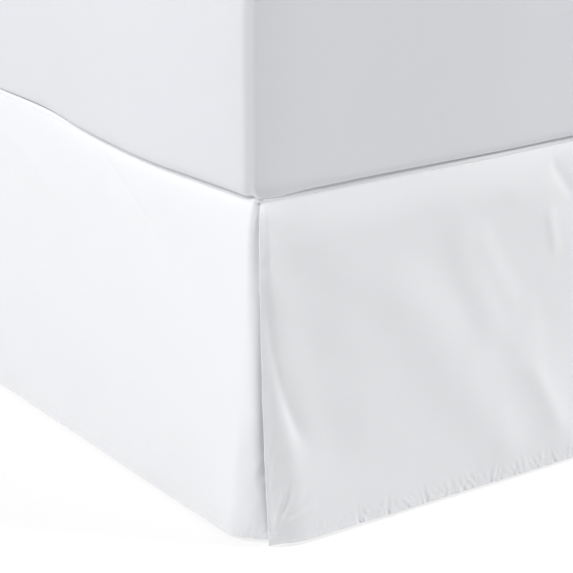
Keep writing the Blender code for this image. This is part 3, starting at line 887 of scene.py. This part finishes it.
class Nodes:
    """Adds and links the nodes of one material."""

    def __init__(self, name):
        self.material = bpy.data.materials.new(name)
        self.material.use_nodes = True
        self.tree = self.material.node_tree
        self.shader = self.tree.nodes["Principled BSDF"]

    def add(self, kind, **inputs):
        """A node with its inputs, by name, set to a value or linked to a socket."""
        node = self.tree.nodes.new("ShaderNode" + kind)
        for name, value in inputs.items():
            self.put(node.inputs[name.replace("_", " ")], value)
        return node

    def surface(self, colour, roughness, normal):
        """Links the shader's colour, roughness and normal."""
        for name, socket in zip(("Base Color", "Roughness", "Normal"), (colour, roughness, normal)):
            self.put(self.shader.inputs[name], socket)

    def put(self, socket, value):
        if isinstance(value, bpy.types.NodeSocket):
            self.tree.links.new(value, socket)
        else:
            socket.default_value = value

    def math(self, operation, first, second=0.0):
        node = self.tree.nodes.new("ShaderNodeMath")
        node.operation = operation
        self.put(node.inputs[0], first)
        self.put(node.inputs[1], second)
        return node.outputs[0]

    def noise(self, vector, scale, detail=2.0, roughness=0.5):
        return self.add(
            "TexNoise", Vector=vector, Scale=scale, Detail=detail, Roughness=roughness
        ).outputs["Fac"]

    def mix_colours(self, share, first, second):
        node = self.tree.nodes.new("ShaderNodeMix")
        node.data_type = "RGBA"
        self.put(node.inputs[0], share)
        self.put(node.inputs[6], first)
        self.put(node.inputs[7], second)
        return node.outputs[2]

    def bump(self, height, distance, strength, normal=None):
        node = self.add("Bump", Height=height, Distance=distance, Strength=strength)
        if normal is not None:
            self.put(node.inputs["Normal"], normal)
        return node.outputs["Normal"]

    def ramp(self, value, low, high, start=0.0, end=1.0):
        """value mapped from low..high to start..end."""
        node = self.add("MapRange", Value=value)
        for socket, limit in zip(node.inputs[1:5], (low, high, start, end)):
            socket.default_value = limit
        return node.outputs[0]


def rgba(colour, factor=1.0):
    return tuple(channel * factor for channel in colour) + (1.0,)


def woven_finish(name, colour, thread, sheen, roughness, weave_depth):
    """A plain weave drawn on the cloth's own flat places, with slubs and a soft crumple."""
    nodes = Nodes(name)
    uv = nodes.add("UVMap").outputs["UV"]
    scaled = nodes.tree.nodes.new("ShaderNodeVectorMath")
    scaled.operation = "SCALE"
    nodes.put(scaled.inputs[0], uv)
    scaled.inputs["Scale"].default_value = 1.0 / thread
    parts = nodes.add("SeparateXYZ", Vector=scaled.outputs[0])
    across, down = parts.outputs["X"], parts.outputs["Y"]
    warp = nodes.math("SINE", nodes.math("MULTIPLY", nodes.math("FRACT", across), math.pi))
    weft = nodes.math("SINE", nodes.math("MULTIPLY", nodes.math("FRACT", down), math.pi))
    cell = nodes.math("ADD", nodes.math("FLOOR", across), nodes.math("FLOOR", down))
    over = nodes.math("ABSOLUTE", nodes.math("MODULO", cell, 2.0))
    lifted_warp = nodes.math("MULTIPLY", warp, nodes.ramp(weft, 0.0, 1.0, 0.45, 1.0))
    lifted_weft = nodes.math("MULTIPLY", weft, nodes.ramp(warp, 0.0, 1.0, 0.45, 1.0))
    weave = nodes.tree.nodes.new("ShaderNodeMix")
    nodes.put(weave.inputs[0], over)
    nodes.put(weave.inputs[2], lifted_weft)
    nodes.put(weave.inputs[3], lifted_warp)
    slubs = nodes.tree.nodes.new("ShaderNodeMapping")
    nodes.put(slubs.inputs["Vector"], uv)
    slubs.inputs["Scale"].default_value = (900.0, 120.0, 1.0)
    slub = nodes.noise(slubs.outputs[0], 1.0, 2.0)
    crumple = nodes.noise(uv, 140.0, 4.0, 0.55)
    cloudy = nodes.noise(uv, 7.0, 3.0)
    normal = nodes.bump(weave.outputs[0], thread * weave_depth, 0.35)
    normal = nodes.bump(slub, thread * 0.25, 0.25, normal)
    normal = nodes.bump(crumple, 0.0006, 0.10, normal)
    threads = nodes.mix_colours(nodes.ramp(slub, 0.3, 0.7), rgba(colour, 0.985), rgba(colour))
    clouds = nodes.ramp(cloudy, 0.35, 0.65, 0.0, 0.5)
    tinted = nodes.mix_colours(clouds, threads, rgba(colour, 0.975))
    rough = nodes.ramp(crumple, 0.3, 0.7, roughness - 0.05, roughness + 0.05)
    nodes.surface(tinted, rough, normal)
    nodes.shader.inputs["Sheen Weight"].default_value = sheen
    nodes.shader.inputs["Sheen Roughness"].default_value = 0.45
    nodes.shader.inputs["Specular IOR Level"].default_value = 0.25
    return nodes.material


def thread_finish(colour):
    """Twisted sewing thread, a little brighter than the cloth."""
    nodes = Nodes("sewing_thread")
    place = nodes.add("TexCoord").outputs["Object"]
    twist = nodes.add("TexWave", Vector=place, Scale=900.0, Distortion=1.5)
    fibres = nodes.noise(place, 2500.0, 3.0)
    normal = nodes.bump(twist.outputs["Fac"], 0.00006, 0.5)
    tint = nodes.mix_colours(nodes.ramp(fibres, 0.3, 0.7), rgba(colour, 0.96), rgba(colour, 1.04))
    nodes.surface(tint, nodes.ramp(fibres, 0.3, 0.7, 0.5, 0.65), normal)
    nodes.shader.inputs["Sheen Weight"].default_value = 0.15
    return nodes.material


def coated_steel_finish(colour):
    """Powder coat: a fine orange peel, rubbed a little smoother in places."""
    nodes = Nodes("frame_powder_coat")
    place = nodes.add("TexCoord").outputs["Object"]
    peel = nodes.noise(place, 900.0, 3.0)
    rubbed = nodes.noise(place, 9.0, 4.0)
    dust = nodes.noise(place, 45.0, 5.0, 0.65)
    dusty = nodes.ramp(dust, 0.5, 0.8, 0.0, 0.35)
    tint = nodes.mix_colours(dusty, rgba(colour), rgba(colour, 2.6))
    rough = nodes.ramp(rubbed, 0.35, 0.65, 0.34, 0.55)
    nodes.surface(tint, rough, nodes.bump(peel, 0.0004, 0.35))
    nodes.shader.inputs["Metallic"].default_value = 0.3
    nodes.shader.inputs["Coat Weight"].default_value = 0.25
    nodes.shader.inputs["Coat Roughness"].default_value = 0.35
    return nodes.material


def moulded_plastic_finish(colour):
    """Spark-textured plastic with scuffs near the floor."""
    nodes = Nodes("glide_plastic")
    place = nodes.add("TexCoord").outputs["Object"]
    grain = nodes.noise(place, 1600.0, 2.0)
    scuffs = nodes.noise(place, 120.0, 5.0, 0.7)
    height = nodes.add("SeparateXYZ", Vector=place).outputs["Z"]
    low = nodes.ramp(height, 0.0, 0.012, 1.0, 0.0)
    worn = nodes.math("MULTIPLY", low, nodes.ramp(scuffs, 0.45, 0.7))
    tint = nodes.mix_colours(worn, rgba(colour), rgba(colour, 4.0))
    rough = nodes.ramp(grain, 0.3, 0.7, 0.5, 0.65)
    nodes.surface(tint, rough, nodes.bump(grain, 0.0002, 0.4))
    return nodes.material


def floor_finish(colour, glow):
    """A pale floor that glows a little, as a lit studio table does."""
    nodes = Nodes("floor")
    place = nodes.add("TexCoord").outputs["Object"]
    clouds = nodes.noise(place, 1.5, 2.0)
    tint = nodes.mix_colours(nodes.ramp(clouds, 0.3, 0.7), rgba(colour), rgba(colour, 0.99))
    nodes.put(nodes.shader.inputs["Base Color"], tint)
    nodes.shader.inputs["Roughness"].default_value = 0.9
    nodes.shader.inputs["Specular IOR Level"].default_value = 0.1
    nodes.shader.inputs["Emission Color"].default_value = (1.0, 1.0, 1.0, 1.0)
    nodes.shader.inputs["Emission Strength"].default_value = glow
    return nodes.material


def shared_material(name, make, *values):
    """The material of that name, made once."""
    return bpy.data.materials.get(name) or make(*values)


def woven_material(name, colour, thread, sheen, roughness, weave_depth):
    """The woven material of that name, made once."""
    values = (colour, thread, sheen, roughness, weave_depth)
    return shared_material(name, woven_finish, name, *values)


def skirt_material(settings):
    return woven_material(
        "skirt_microfibre", settings.colour, settings.weave,
        sheen=0.22, roughness=0.82, weave_depth=0.30,
    )


# Operators


class BEDSKIRT_OT_foot_drop(bpy.types.Operator):
    """Hang the foot drop, whose hemmed ends lie on the foot corners"""

    bl_idname = "bedskirt.foot_drop"
    bl_label = "Foot Drop"

    def execute(self, context):
        settings = context.scene.bed_skirt
        hem = settings.hem_width
        columns = stations(
            (0.003, 0.0010), (hem, 0.0016), (0.120, 0.0019), (0.520, 0.0022),
            (SKIRT_WIDTH - hem, 0.0042), (SKIRT_WIDTH, 0.0016),
        )

        def hanger(flat):
            return hang_foot(settings, flat)

        drop, threads = add_drop(
            settings, "foot_drop", hanger, SKIRT_WIDTH, columns, (hem, SKIRT_WIDTH - hem)
        )
        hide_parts("skirt_drop_foot")
        return {"FINISHED"}


class BEDSKIRT_OT_side_drops(bpy.types.Operator):
    """Hang the two side drops, which turn behind the foot drop's ends"""

    bl_idname = "bedskirt.side_drops"
    bl_label = "Side Drops"

    def execute(self, context):
        for name, side in SIDES.items():
            self.add_side(context.scene.bed_skirt, name, side)
        return {"FINISHED"}

    def add_side(self, settings, name, side):
        length = SKIRT_LENGTH + CORNER_WRAP
        hem = settings.hem_width
        columns = stations(
            (CORNER_WRAP - 0.030, 0.003), (CORNER_WRAP + 0.060, 0.0018), (0.700, 0.0034),
            (length - hem, 0.0050), (length, 0.0020),
        )

        def hanger(flat):
            return hang_side(settings, flat, side)

        drop, threads = add_drop(
            settings, f"{name}_drop", hanger, length, columns, (length - hem,)
        )
        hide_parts(f"skirt_drop_{name}")


def deck_edge(side):
    """One side of the deck's edge in plan, from the head round to the foot corner's end.

    Rows of x, y and the outward normal.
    """
    runs = np.arange(SKIRT_LENGTH, CORNER_RADIUS_SEAM, -DECK_STEP)
    out = swell(side.bulges, runs)
    wall = np.column_stack((
        side.sign * (SKIRT_WIDTH / 2 + out), runs - SKIRT_LENGTH / 2,
        np.full_like(runs, side.sign), np.zeros_like(runs),
    ))
    angle = np.linspace(0.0, math.pi / 2, DECK_CORNER_PLACES)
    run = CORNER_RADIUS_SEAM * (1.0 - np.sin(angle))
    inset = CORNER_RADIUS_SEAM * (1.0 - np.cos(angle)) - swell(side.bulges, run) * np.cos(angle)
    arc = np.column_stack((
        side.sign * (SKIRT_WIDTH / 2 - inset), run - SKIRT_LENGTH / 2,
        side.sign * np.cos(angle), -np.sin(angle),
    ))
    return np.concatenate((wall, arc))


class BEDSKIRT_OT_deck(bpy.types.Operator):
    """Lay the deck, which rolls over the bed's edges down to the drops' seams"""

    bl_idname = "bedskirt.deck"
    bl_label = "Deck"

    def execute(self, context):
        settings = context.scene.bed_skirt
        left, right = deck_edge(SIDES["left"]), deck_edge(SIDES["right"])
        half = SKIRT_WIDTH / 2 - CORNER_RADIUS_SEAM
        across = np.linspace(-half, half, DECK_COLUMNS)[1:-1]
        foot_out = swell(FOOT_BULGES, across + SKIRT_WIDTH / 2)
        foot = np.column_stack((
            across, -SKIRT_LENGTH / 2 - foot_out,
            np.zeros_like(across), np.full_like(across, -1.0),
        ))
        path = np.concatenate((left, foot, right[::-1]))
        steps = np.linalg.norm(np.diff(path[:, :2], axis=0), axis=1)
        along = np.concatenate(((0.0,), np.cumsum(steps)))
        from_corner = SKIRT_WIDTH / 2 - np.abs(path[:, 0])
        deepen = np.where(path[:, 3] < -0.9, 0.0003 * ease((from_corner - 0.04) / 0.05), 0.0001)
        turned = ease(np.arctan2(np.abs(path[:, 3]), np.abs(path[:, 2])) / TUCK_ANGLE)
        drawn_in = blend(SHOULDER_INSET, FOOT_SHOULDER_INSET, turned)
        rows = [(0.0, 0.0), (0.0, 0.0006), (0.0, 0.0012), (0.0, SEAM_TURN)]
        for angle in np.linspace(0.0, math.pi / 2, 9)[1:]:
            inset = ROLL_RADIUS * (1.0 - math.cos(angle))
            rows.append((inset, SEAM_TURN + ROLL_RADIUS * math.sin(angle)))
        rows.append((ROLL_RADIUS + 0.006, SEAM_TURN + ROLL_RADIUS))
        points, uv, travelled = [], [], 0.0
        previous = rows[0]
        for inset, rise in rows:
            travelled += math.hypot(inset - previous[0], rise - previous[1])
            previous = (inset, rise)
            seam = deepen * bell(rise, 0.0012)
            pucker = 0.00012 * ripple(along, 0.012, 21) * bell(rise - 0.003, 0.003)
            drawn = drawn_in + inset + seam - pucker
            plan = path[:, :2] - path[:, 2:] * drawn[:, None]
            points.append(np.column_stack((plan, np.full(len(path), SEAM_HEIGHT + rise))))
            uv.append(path[:, :2] - path[:, 2:] * travelled)
        count = len(path)
        faces = grid_faces(count, len(rows))
        faces.append(tuple(range((len(rows) - 1) * count, len(rows) * count)))
        deck = add_piece("deck", np.concatenate(points), faces)
        mesh = deck.data
        write_uv(mesh, np.concatenate(uv))
        if mesh.polygons[-1].normal.z < 0.0:
            mesh.flip_normals()
        hem = np.flatnonzero(read_points(mesh)[:, 1] > SKIRT_LENGTH / 2 - settings.hem_width)
        thicken(deck, settings, hem)
        finish_piece(deck, "deck_cloth", skirt_material(settings))
        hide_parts("skirt_deck")
        return {"FINISHED"}


# Padded blocks


def edge_stations(half, near_step, reach, far_step):
    """Places from -half to half, close together near both ends."""
    near = np.arange(0.0, reach, near_step)
    count = max(2, round((2 * half - 2 * reach) / far_step))
    middle = np.linspace(reach, 2 * half - reach, count + 1)
    return np.concatenate((near, middle, (2 * half - near)[::-1])) - half


def block_levels(edge_rings, wall_rings):
    """Levels of a block's rings, up its lower edge, its wall and its upper edge."""
    spans = (
        (0.0, LOW_LEVEL, edge_rings), (LOW_LEVEL, HIGH_LEVEL, wall_rings),
        (HIGH_LEVEL, 1.0, edge_rings),
    )
    return np.concatenate([np.linspace(low, high, count)[:-1] for low, high, count in spans])


def rounded_place(x, y, half_x, half_y, radius):
    """Moves places of a sharp rectangle onto one whose corners are rounded by that radius.

    Returns the places and the outward normals of the outline beside them.
    """
    from_x = half_x - np.abs(x)
    from_y = half_y - np.abs(y)
    depth = np.minimum(from_x, from_y)
    along = np.maximum(from_x, from_y) - depth
    radius = radius * (1.0 - 0.999 * ease(depth / CORNER_DEPTH))
    angle = np.clip(1.0 - along / radius, 0.0, 1.0) * math.pi / 4
    turned = along < radius
    new_along = depth + np.where(turned, radius * (1.0 - np.sin(angle)), along)
    new_inset = depth + radius * (1.0 - np.cos(angle))
    on_y_wall = from_y <= from_x
    to_x = np.where(on_y_wall, new_along, new_inset)
    to_y = np.where(on_y_wall, new_inset, new_along)
    sign_x = np.where(x < 0, -1.0, 1.0)
    sign_y = np.where(y < 0, -1.0, 1.0)
    normal_x = np.where(on_y_wall, np.sin(angle), np.cos(angle)) * sign_x
    normal_y = np.where(on_y_wall, np.cos(angle), np.sin(angle)) * sign_y
    return sign_x * (half_x - to_x), sign_y * (half_y - to_y), normal_x, normal_y


def add_padded_block(name, xs, ys, side_levels, shape):
    """A closed block from a top grid, rings down its sides and one face below.

    shape(x, y, level) gives the places for level 0, the lowest ring, to 1, the top's rim and,
    with level None, the top. x and y are places on the sharp rectangle.
    """
    columns, rows = len(xs), len(ys)
    grid_x, grid_y = (part.ravel() for part in np.meshgrid(xs, ys))
    rim = list(range(columns))
    rim += [(j + 1) * columns - 1 for j in range(1, rows)]
    rim += [(rows - 1) * columns + i for i in range(columns - 2, -1, -1)]
    rim += [j * columns for j in range(rows - 2, 0, -1)]
    rim = np.array(rim)
    points = [shape(grid_x, grid_y, None)]
    faces = grid_faces(columns, rows)
    upper = rim
    base = columns * rows
    count = len(rim)
    for level in side_levels[::-1]:
        points.append(shape(grid_x[rim], grid_y[rim], level))
        ring = np.arange(base, base + count)
        base += count
        corners = np.column_stack((upper, ring, np.roll(ring, -1), np.roll(upper, -1)))
        faces += [tuple(face) for face in corners.tolist()]
        upper = ring
    faces.append(tuple(int(index) for index in upper[::-1]))
    block = add_piece(name, np.concatenate(points), faces)
    block.data.validate()
    face_outwards(block)
    bpy.ops.object.shade_smooth()
    wrap_uv(block.data)
    return block


def wrap_uv(mesh):
    """UV in metres from the side that a face looks to: its top, its long or its short sides."""
    layer = mesh.uv_layers.active or mesh.uv_layers.new(name="UVMap")
    points = read_points(mesh)
    uv = np.zeros((len(mesh.loops), 2), np.float32)
    for polygon in mesh.polygons:
        axis = int(np.argmax(np.abs(polygon.normal)))
        kept = ((1, 2), (0, 2), (0, 1))[axis]
        for corner in polygon.loop_indices:
            uv[corner] = points[mesh.loops[corner].vertex_index][list(kept)]
    layer.data.foreach_set("uv", uv.ravel())


def mattress_swell(x, y):
    """How far the mattress's sides stand out at places on its outline, and along which axis."""
    run = y + SKIRT_LENGTH / 2
    left = swell(MATTRESS_LEFT_SWELL, run)
    right = swell(MATTRESS_RIGHT_SWELL, run)
    foot = swell(MATTRESS_FOOT_SWELL, x + SKIRT_WIDTH / 2)
    side_share = ease((np.abs(x) / (SKIRT_WIDTH / 2) - SWELL_START) / SWELL_FADE)
    foot_share = ease((-y / (SKIRT_LENGTH / 2) - SWELL_START) / SWELL_FADE)
    return np.where(x < 0, -left, right) * side_share, -foot * foot_share


def lower_rounding(x, y):
    """Inset and height of the mattress's lower edge at places on its outline."""
    run = y + SKIRT_LENGTH / 2
    from_left = x + SKIRT_WIDTH / 2
    near_left = bell(from_left, 0.05)
    near_foot = bell(run, 0.05)
    inset = np.full_like(x, LOWER_EDGE_INSET)
    height = np.full_like(x, LOWER_EDGE_HEIGHT)
    edges = ((LEFT_ROUNDINGS, near_left, run), (FOOT_ROUNDINGS, near_foot, from_left))
    for roundings, near, along in edges:
        for rounding in roundings:
            here = near * bell(along - rounding.run, rounding.half_length)
            inset += rounding.inset * here
            height += rounding.height * here
    return inset, height


def mattress_waves(x, y, z):
    """The fitted sheet's slight unevenness."""
    first = ripple(y + 0.4 * z, 0.160, 11) * ripple(z + 0.2 * y, 0.120, 12)
    second = ripple(x - 0.3 * z, 0.170, 13) * ripple(z - 0.2 * x, 0.120, 14)
    return 0.0007 * first, 0.0007 * second


class BEDSKIRT_OT_mattress(bpy.types.Operator):
    """Add the mattress in its fitted sheet"""

    bl_idname = "bedskirt.mattress"
    bl_label = "Mattress"

    def execute(self, context):
        half_x = SKIRT_WIDTH / 2 - MATTRESS_INSET
        half_y = SKIRT_LENGTH / 2 - MATTRESS_INSET - MATTRESS_FOOT_INSET
        xs = edge_stations(half_x, *MATTRESS_GRID)
        ys = edge_stations(half_y, *MATTRESS_GRID)
        quarter = math.pi / 2

        def shape(x, y, level):
            low_inset, low_height = lower_rounding(x, y)
            top_start = MATTRESS_HIGH - MATTRESS_TOP_EDGE
            if level is None or level > HIGH_LEVEL:
                risen = 1.0 if level is None else (level - HIGH_LEVEL) / (1.0 - HIGH_LEVEL)
                angle = quarter * risen
                inset = MATTRESS_TOP_EDGE * (1.0 - math.cos(angle))
                z = np.full_like(x, top_start + MATTRESS_TOP_EDGE * math.sin(angle))
                radius = blend(MATTRESS_CORNER, MATTRESS_CORNER_TOP, angle / quarter)
            elif level < LOW_LEVEL:
                angle = quarter * level / LOW_LEVEL
                inset = low_inset * (1.0 - math.sin(angle))
                z = MATTRESS_LOW + low_height * (1.0 - math.cos(angle))
                radius = blend(MATTRESS_CORNER_LOW, MATTRESS_CORNER, math.sin(angle))
            else:
                share = (level - LOW_LEVEL) / (HIGH_LEVEL - LOW_LEVEL)
                inset = 0.0
                z = blend(MATTRESS_LOW + low_height, top_start, share)
                radius = MATTRESS_CORNER
            squeeze = MATTRESS_TOP_EDGE if level is None else 0.0
            scale_x = (half_x - squeeze) / half_x
            scale_y = (half_y - squeeze) / half_y
            px, py, nx, ny = rounded_place(
                x * scale_x, y * scale_y, half_x - squeeze, half_y - squeeze, radius
            )
            if level is not None:
                px = px - nx * inset
                py = py - ny * inset
            out_x, out_y = mattress_swell(x, y)
            fade = 1.0 - 0.45 * ease((z - 0.60) / 0.09)
            wave_x, wave_y = mattress_waves(px, py, z)
            from_foot, from_side = y + half_y, half_x - np.abs(x)
            soft_y = SOFT_FOOT[0] * np.clip(1.0 - from_side / SOFT_FOOT[1], 0.0, 1.0) ** 2
            soft_x = SOFT_SIDE[0] * np.clip(1.0 - from_foot / SOFT_SIDE[1], 0.0, 1.0) ** 2
            out_y = out_y + soft_y * ease((0.10 - from_foot) / 0.06)
            out_x = out_x - np.sign(x) * soft_x * ease((0.10 - from_side) / 0.06)
            px = px + out_x * fade + wave_x * np.abs(nx)
            py = py + out_y * fade + wave_y * np.abs(ny)
            low = 1.0 - ease((z - MATTRESS_LOW) / 0.08)
            droop = CORNER_DROOP * bell(from_side - DROOP_RUN, DROOP_REACH)
            z = z - droop * low * ease((from_side - from_foot) / 0.010)
            if level is None:
                depth = np.minimum(half_x - np.abs(x), half_y - np.abs(y))
                uneven = ripple(x + 0.3 * y, 0.23, 16) * ripple(y, 0.27, 17)
                z = z - 0.0012 * (1.0 + uneven) * ease(depth / 0.05)
            return np.column_stack((px, py, z))

        mattress = add_padded_block("mattress_cover", xs, ys, block_levels(9, 19), shape)
        material = woven_material(
            "fitted_sheet", context.scene.bed.sheet_colour, 0.00035,
            sheen=0.15, roughness=0.85, weave_depth=0.30,
        )
        finish_piece(mattress, "mattress_padding", material)
        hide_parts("mattress")
        return {"FINISHED"}


class BEDSKIRT_OT_box_spring(bpy.types.Operator):
    """Add the covered box spring"""

    bl_idname = "bedskirt.box_spring"
    bl_label = "Box Spring"

    def execute(self, context):
        low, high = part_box("box_spring")
        half_x, half_y = high.x, high.y
        xs = edge_stations(half_x, *BOX_SPRING_GRID)
        ys = edge_stations(half_y, *BOX_SPRING_GRID)
        edge, corner = 0.006, 0.055

        def shape(x, y, level):
            rise = 1.0 if level is None else level
            upper = rise > 0.5
            share = (1.0 - rise) / LOW_LEVEL if upper else rise / LOW_LEVEL
            angle = math.pi / 2 * min(share, 1.0)
            inset = edge * (1.0 - math.sin(angle))
            lift = edge * (1.0 - math.cos(angle))
            z = high.z - lift if upper else low.z + lift
            if share > 1.0:
                wall_share = (rise - LOW_LEVEL) / (HIGH_LEVEL - LOW_LEVEL)
                z = blend(low.z + edge, high.z - edge, wall_share)
            px, py, nx, ny = rounded_place(x, y, half_x, half_y, corner)
            hollow = 0.0015 * ripple(x + y, 0.30, 18) * math.sin(math.pi * rise)
            px = px - nx * (inset + np.abs(hollow))
            py = py - ny * (inset + np.abs(hollow))
            return np.column_stack((px, py, np.full_like(px, z)))

        block = add_padded_block("box_spring_cover", xs, ys, block_levels(6, 8), shape)
        material = woven_material(
            "box_spring_ticking", context.scene.bed.box_spring_colour, 0.0006,
            sheen=0.1, roughness=0.9, weave_depth=0.4,
        )
        finish_piece(block, "box_spring_padding", material)
        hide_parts("box_spring")
        return {"FINISHED"}


class BEDSKIRT_OT_frame_finish(bpy.types.Operator):
    """Finish the steel frame and its plastic feet"""

    bl_idname = "bedskirt.frame_finish"
    bl_label = "Frame Finish"

    def execute(self, context):
        colours = context.scene.bed
        steel = shared_material("frame_powder_coat", coated_steel_finish, colours.steel_colour)
        plastic = shared_material("glide_plastic", moulded_plastic_finish, colours.glide_colour)
        for name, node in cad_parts.items():
            if name.startswith("frame_"):
                node.data.materials.clear()
                node.data.materials.append(plastic if "glide" in name else steel)
        return {"FINISHED"}


def add_area_light(name, place, size, power):
    """A white rectangle of light that faces the bed's foot corner."""
    data = bpy.data.lights.new(name, "AREA")
    data.shape = "RECTANGLE"
    data.size, data.size_y = size
    data.energy = power
    light = add_object(name, data)
    light.location = place
    towards = Vector(LIGHT_AIM) - Vector(place)
    light.rotation_euler = towards.to_track_quat("-Z", "Y").to_euler()


class BEDSKIRT_OT_stage(bpy.types.Operator):
    """Add the floor, the lights and the camera"""

    bl_idname = "bedskirt.stage"
    bl_label = "Stage"

    def execute(self, context):
        stage = context.scene.bed_stage
        deselect_all()
        bpy.ops.mesh.primitive_plane_add(size=FLOOR_SIZE)
        floor = bpy.context.object
        floor.name = "floor"
        floor.data.materials.append(floor_finish(stage.floor_colour, stage.floor_glow))

        world = context.scene.world or bpy.data.worlds.new("studio")
        context.scene.world = world
        world.use_nodes = True
        sky = world.node_tree.nodes["Background"]
        sky.inputs["Color"].default_value = (1.0, 1.0, 1.0, 1.0)
        sky.inputs["Strength"].default_value = stage.sky

        add_area_light("key", KEY_PLACE, KEY_SIZE, stage.key)
        add_area_light("side", SIDE_PLACE, SIDE_SIZE, stage.side)

        data = bpy.data.cameras.new("camera")
        data.lens = stage.lens
        data.sensor_width = SENSOR_WIDTH
        data.clip_end = 100.0
        camera = add_object("camera", data)
        camera.location = stage.camera_place
        camera.rotation_euler = (math.pi / 2 - stage.camera_pitch, 0.0, -stage.camera_yaw)
        context.scene.camera = camera
        context.scene.view_settings.view_transform = "Standard"
        return {"FINISHED"}


class BEDSKIRT_PT_panel(bpy.types.Panel):
    """Lists the bed skirt's pieces"""

    bl_label = "Bed Skirt"
    bl_space_type = "VIEW_3D"
    bl_region_type = "UI"
    bl_category = "Bed Skirt"

    def draw(self, context):
        column = self.layout.column(align=True)
        for operator in OPERATORS:
            column.operator(operator.bl_idname)


SETTINGS = (
    ("bed_skirt", SkirtSettings),
    ("bed", BedSettings),
    ("bed_stage", StageSettings),
)
OPERATORS = (
    BEDSKIRT_OT_stage,
    BEDSKIRT_OT_frame_finish,
    BEDSKIRT_OT_box_spring,
    BEDSKIRT_OT_deck,
    BEDSKIRT_OT_side_drops,
    BEDSKIRT_OT_foot_drop,
    BEDSKIRT_OT_mattress,
)


def register():
    for name, group in SETTINGS:
        bpy.utils.register_class(group)
        setattr(bpy.types.Scene, name, PointerProperty(type=group))
    for operator in OPERATORS:
        bpy.utils.register_class(operator)
    bpy.utils.register_class(BEDSKIRT_PT_panel)


def unregister():
    bpy.utils.unregister_class(BEDSKIRT_PT_panel)
    for operator in reversed(OPERATORS):
        bpy.utils.unregister_class(operator)
    for name, group in reversed(SETTINGS):
        delattr(bpy.types.Scene, name)
        bpy.utils.unregister_class(group)


def main():
    register()
    bpy.ops.bedskirt.stage()
    bpy.ops.bedskirt.frame_finish()
    bpy.ops.bedskirt.box_spring()
    bpy.ops.bedskirt.deck()
    bpy.ops.bedskirt.side_drops()
    bpy.ops.bedskirt.foot_drop()
    bpy.ops.bedskirt.mattress()


if __name__ == "__main__":
    main()
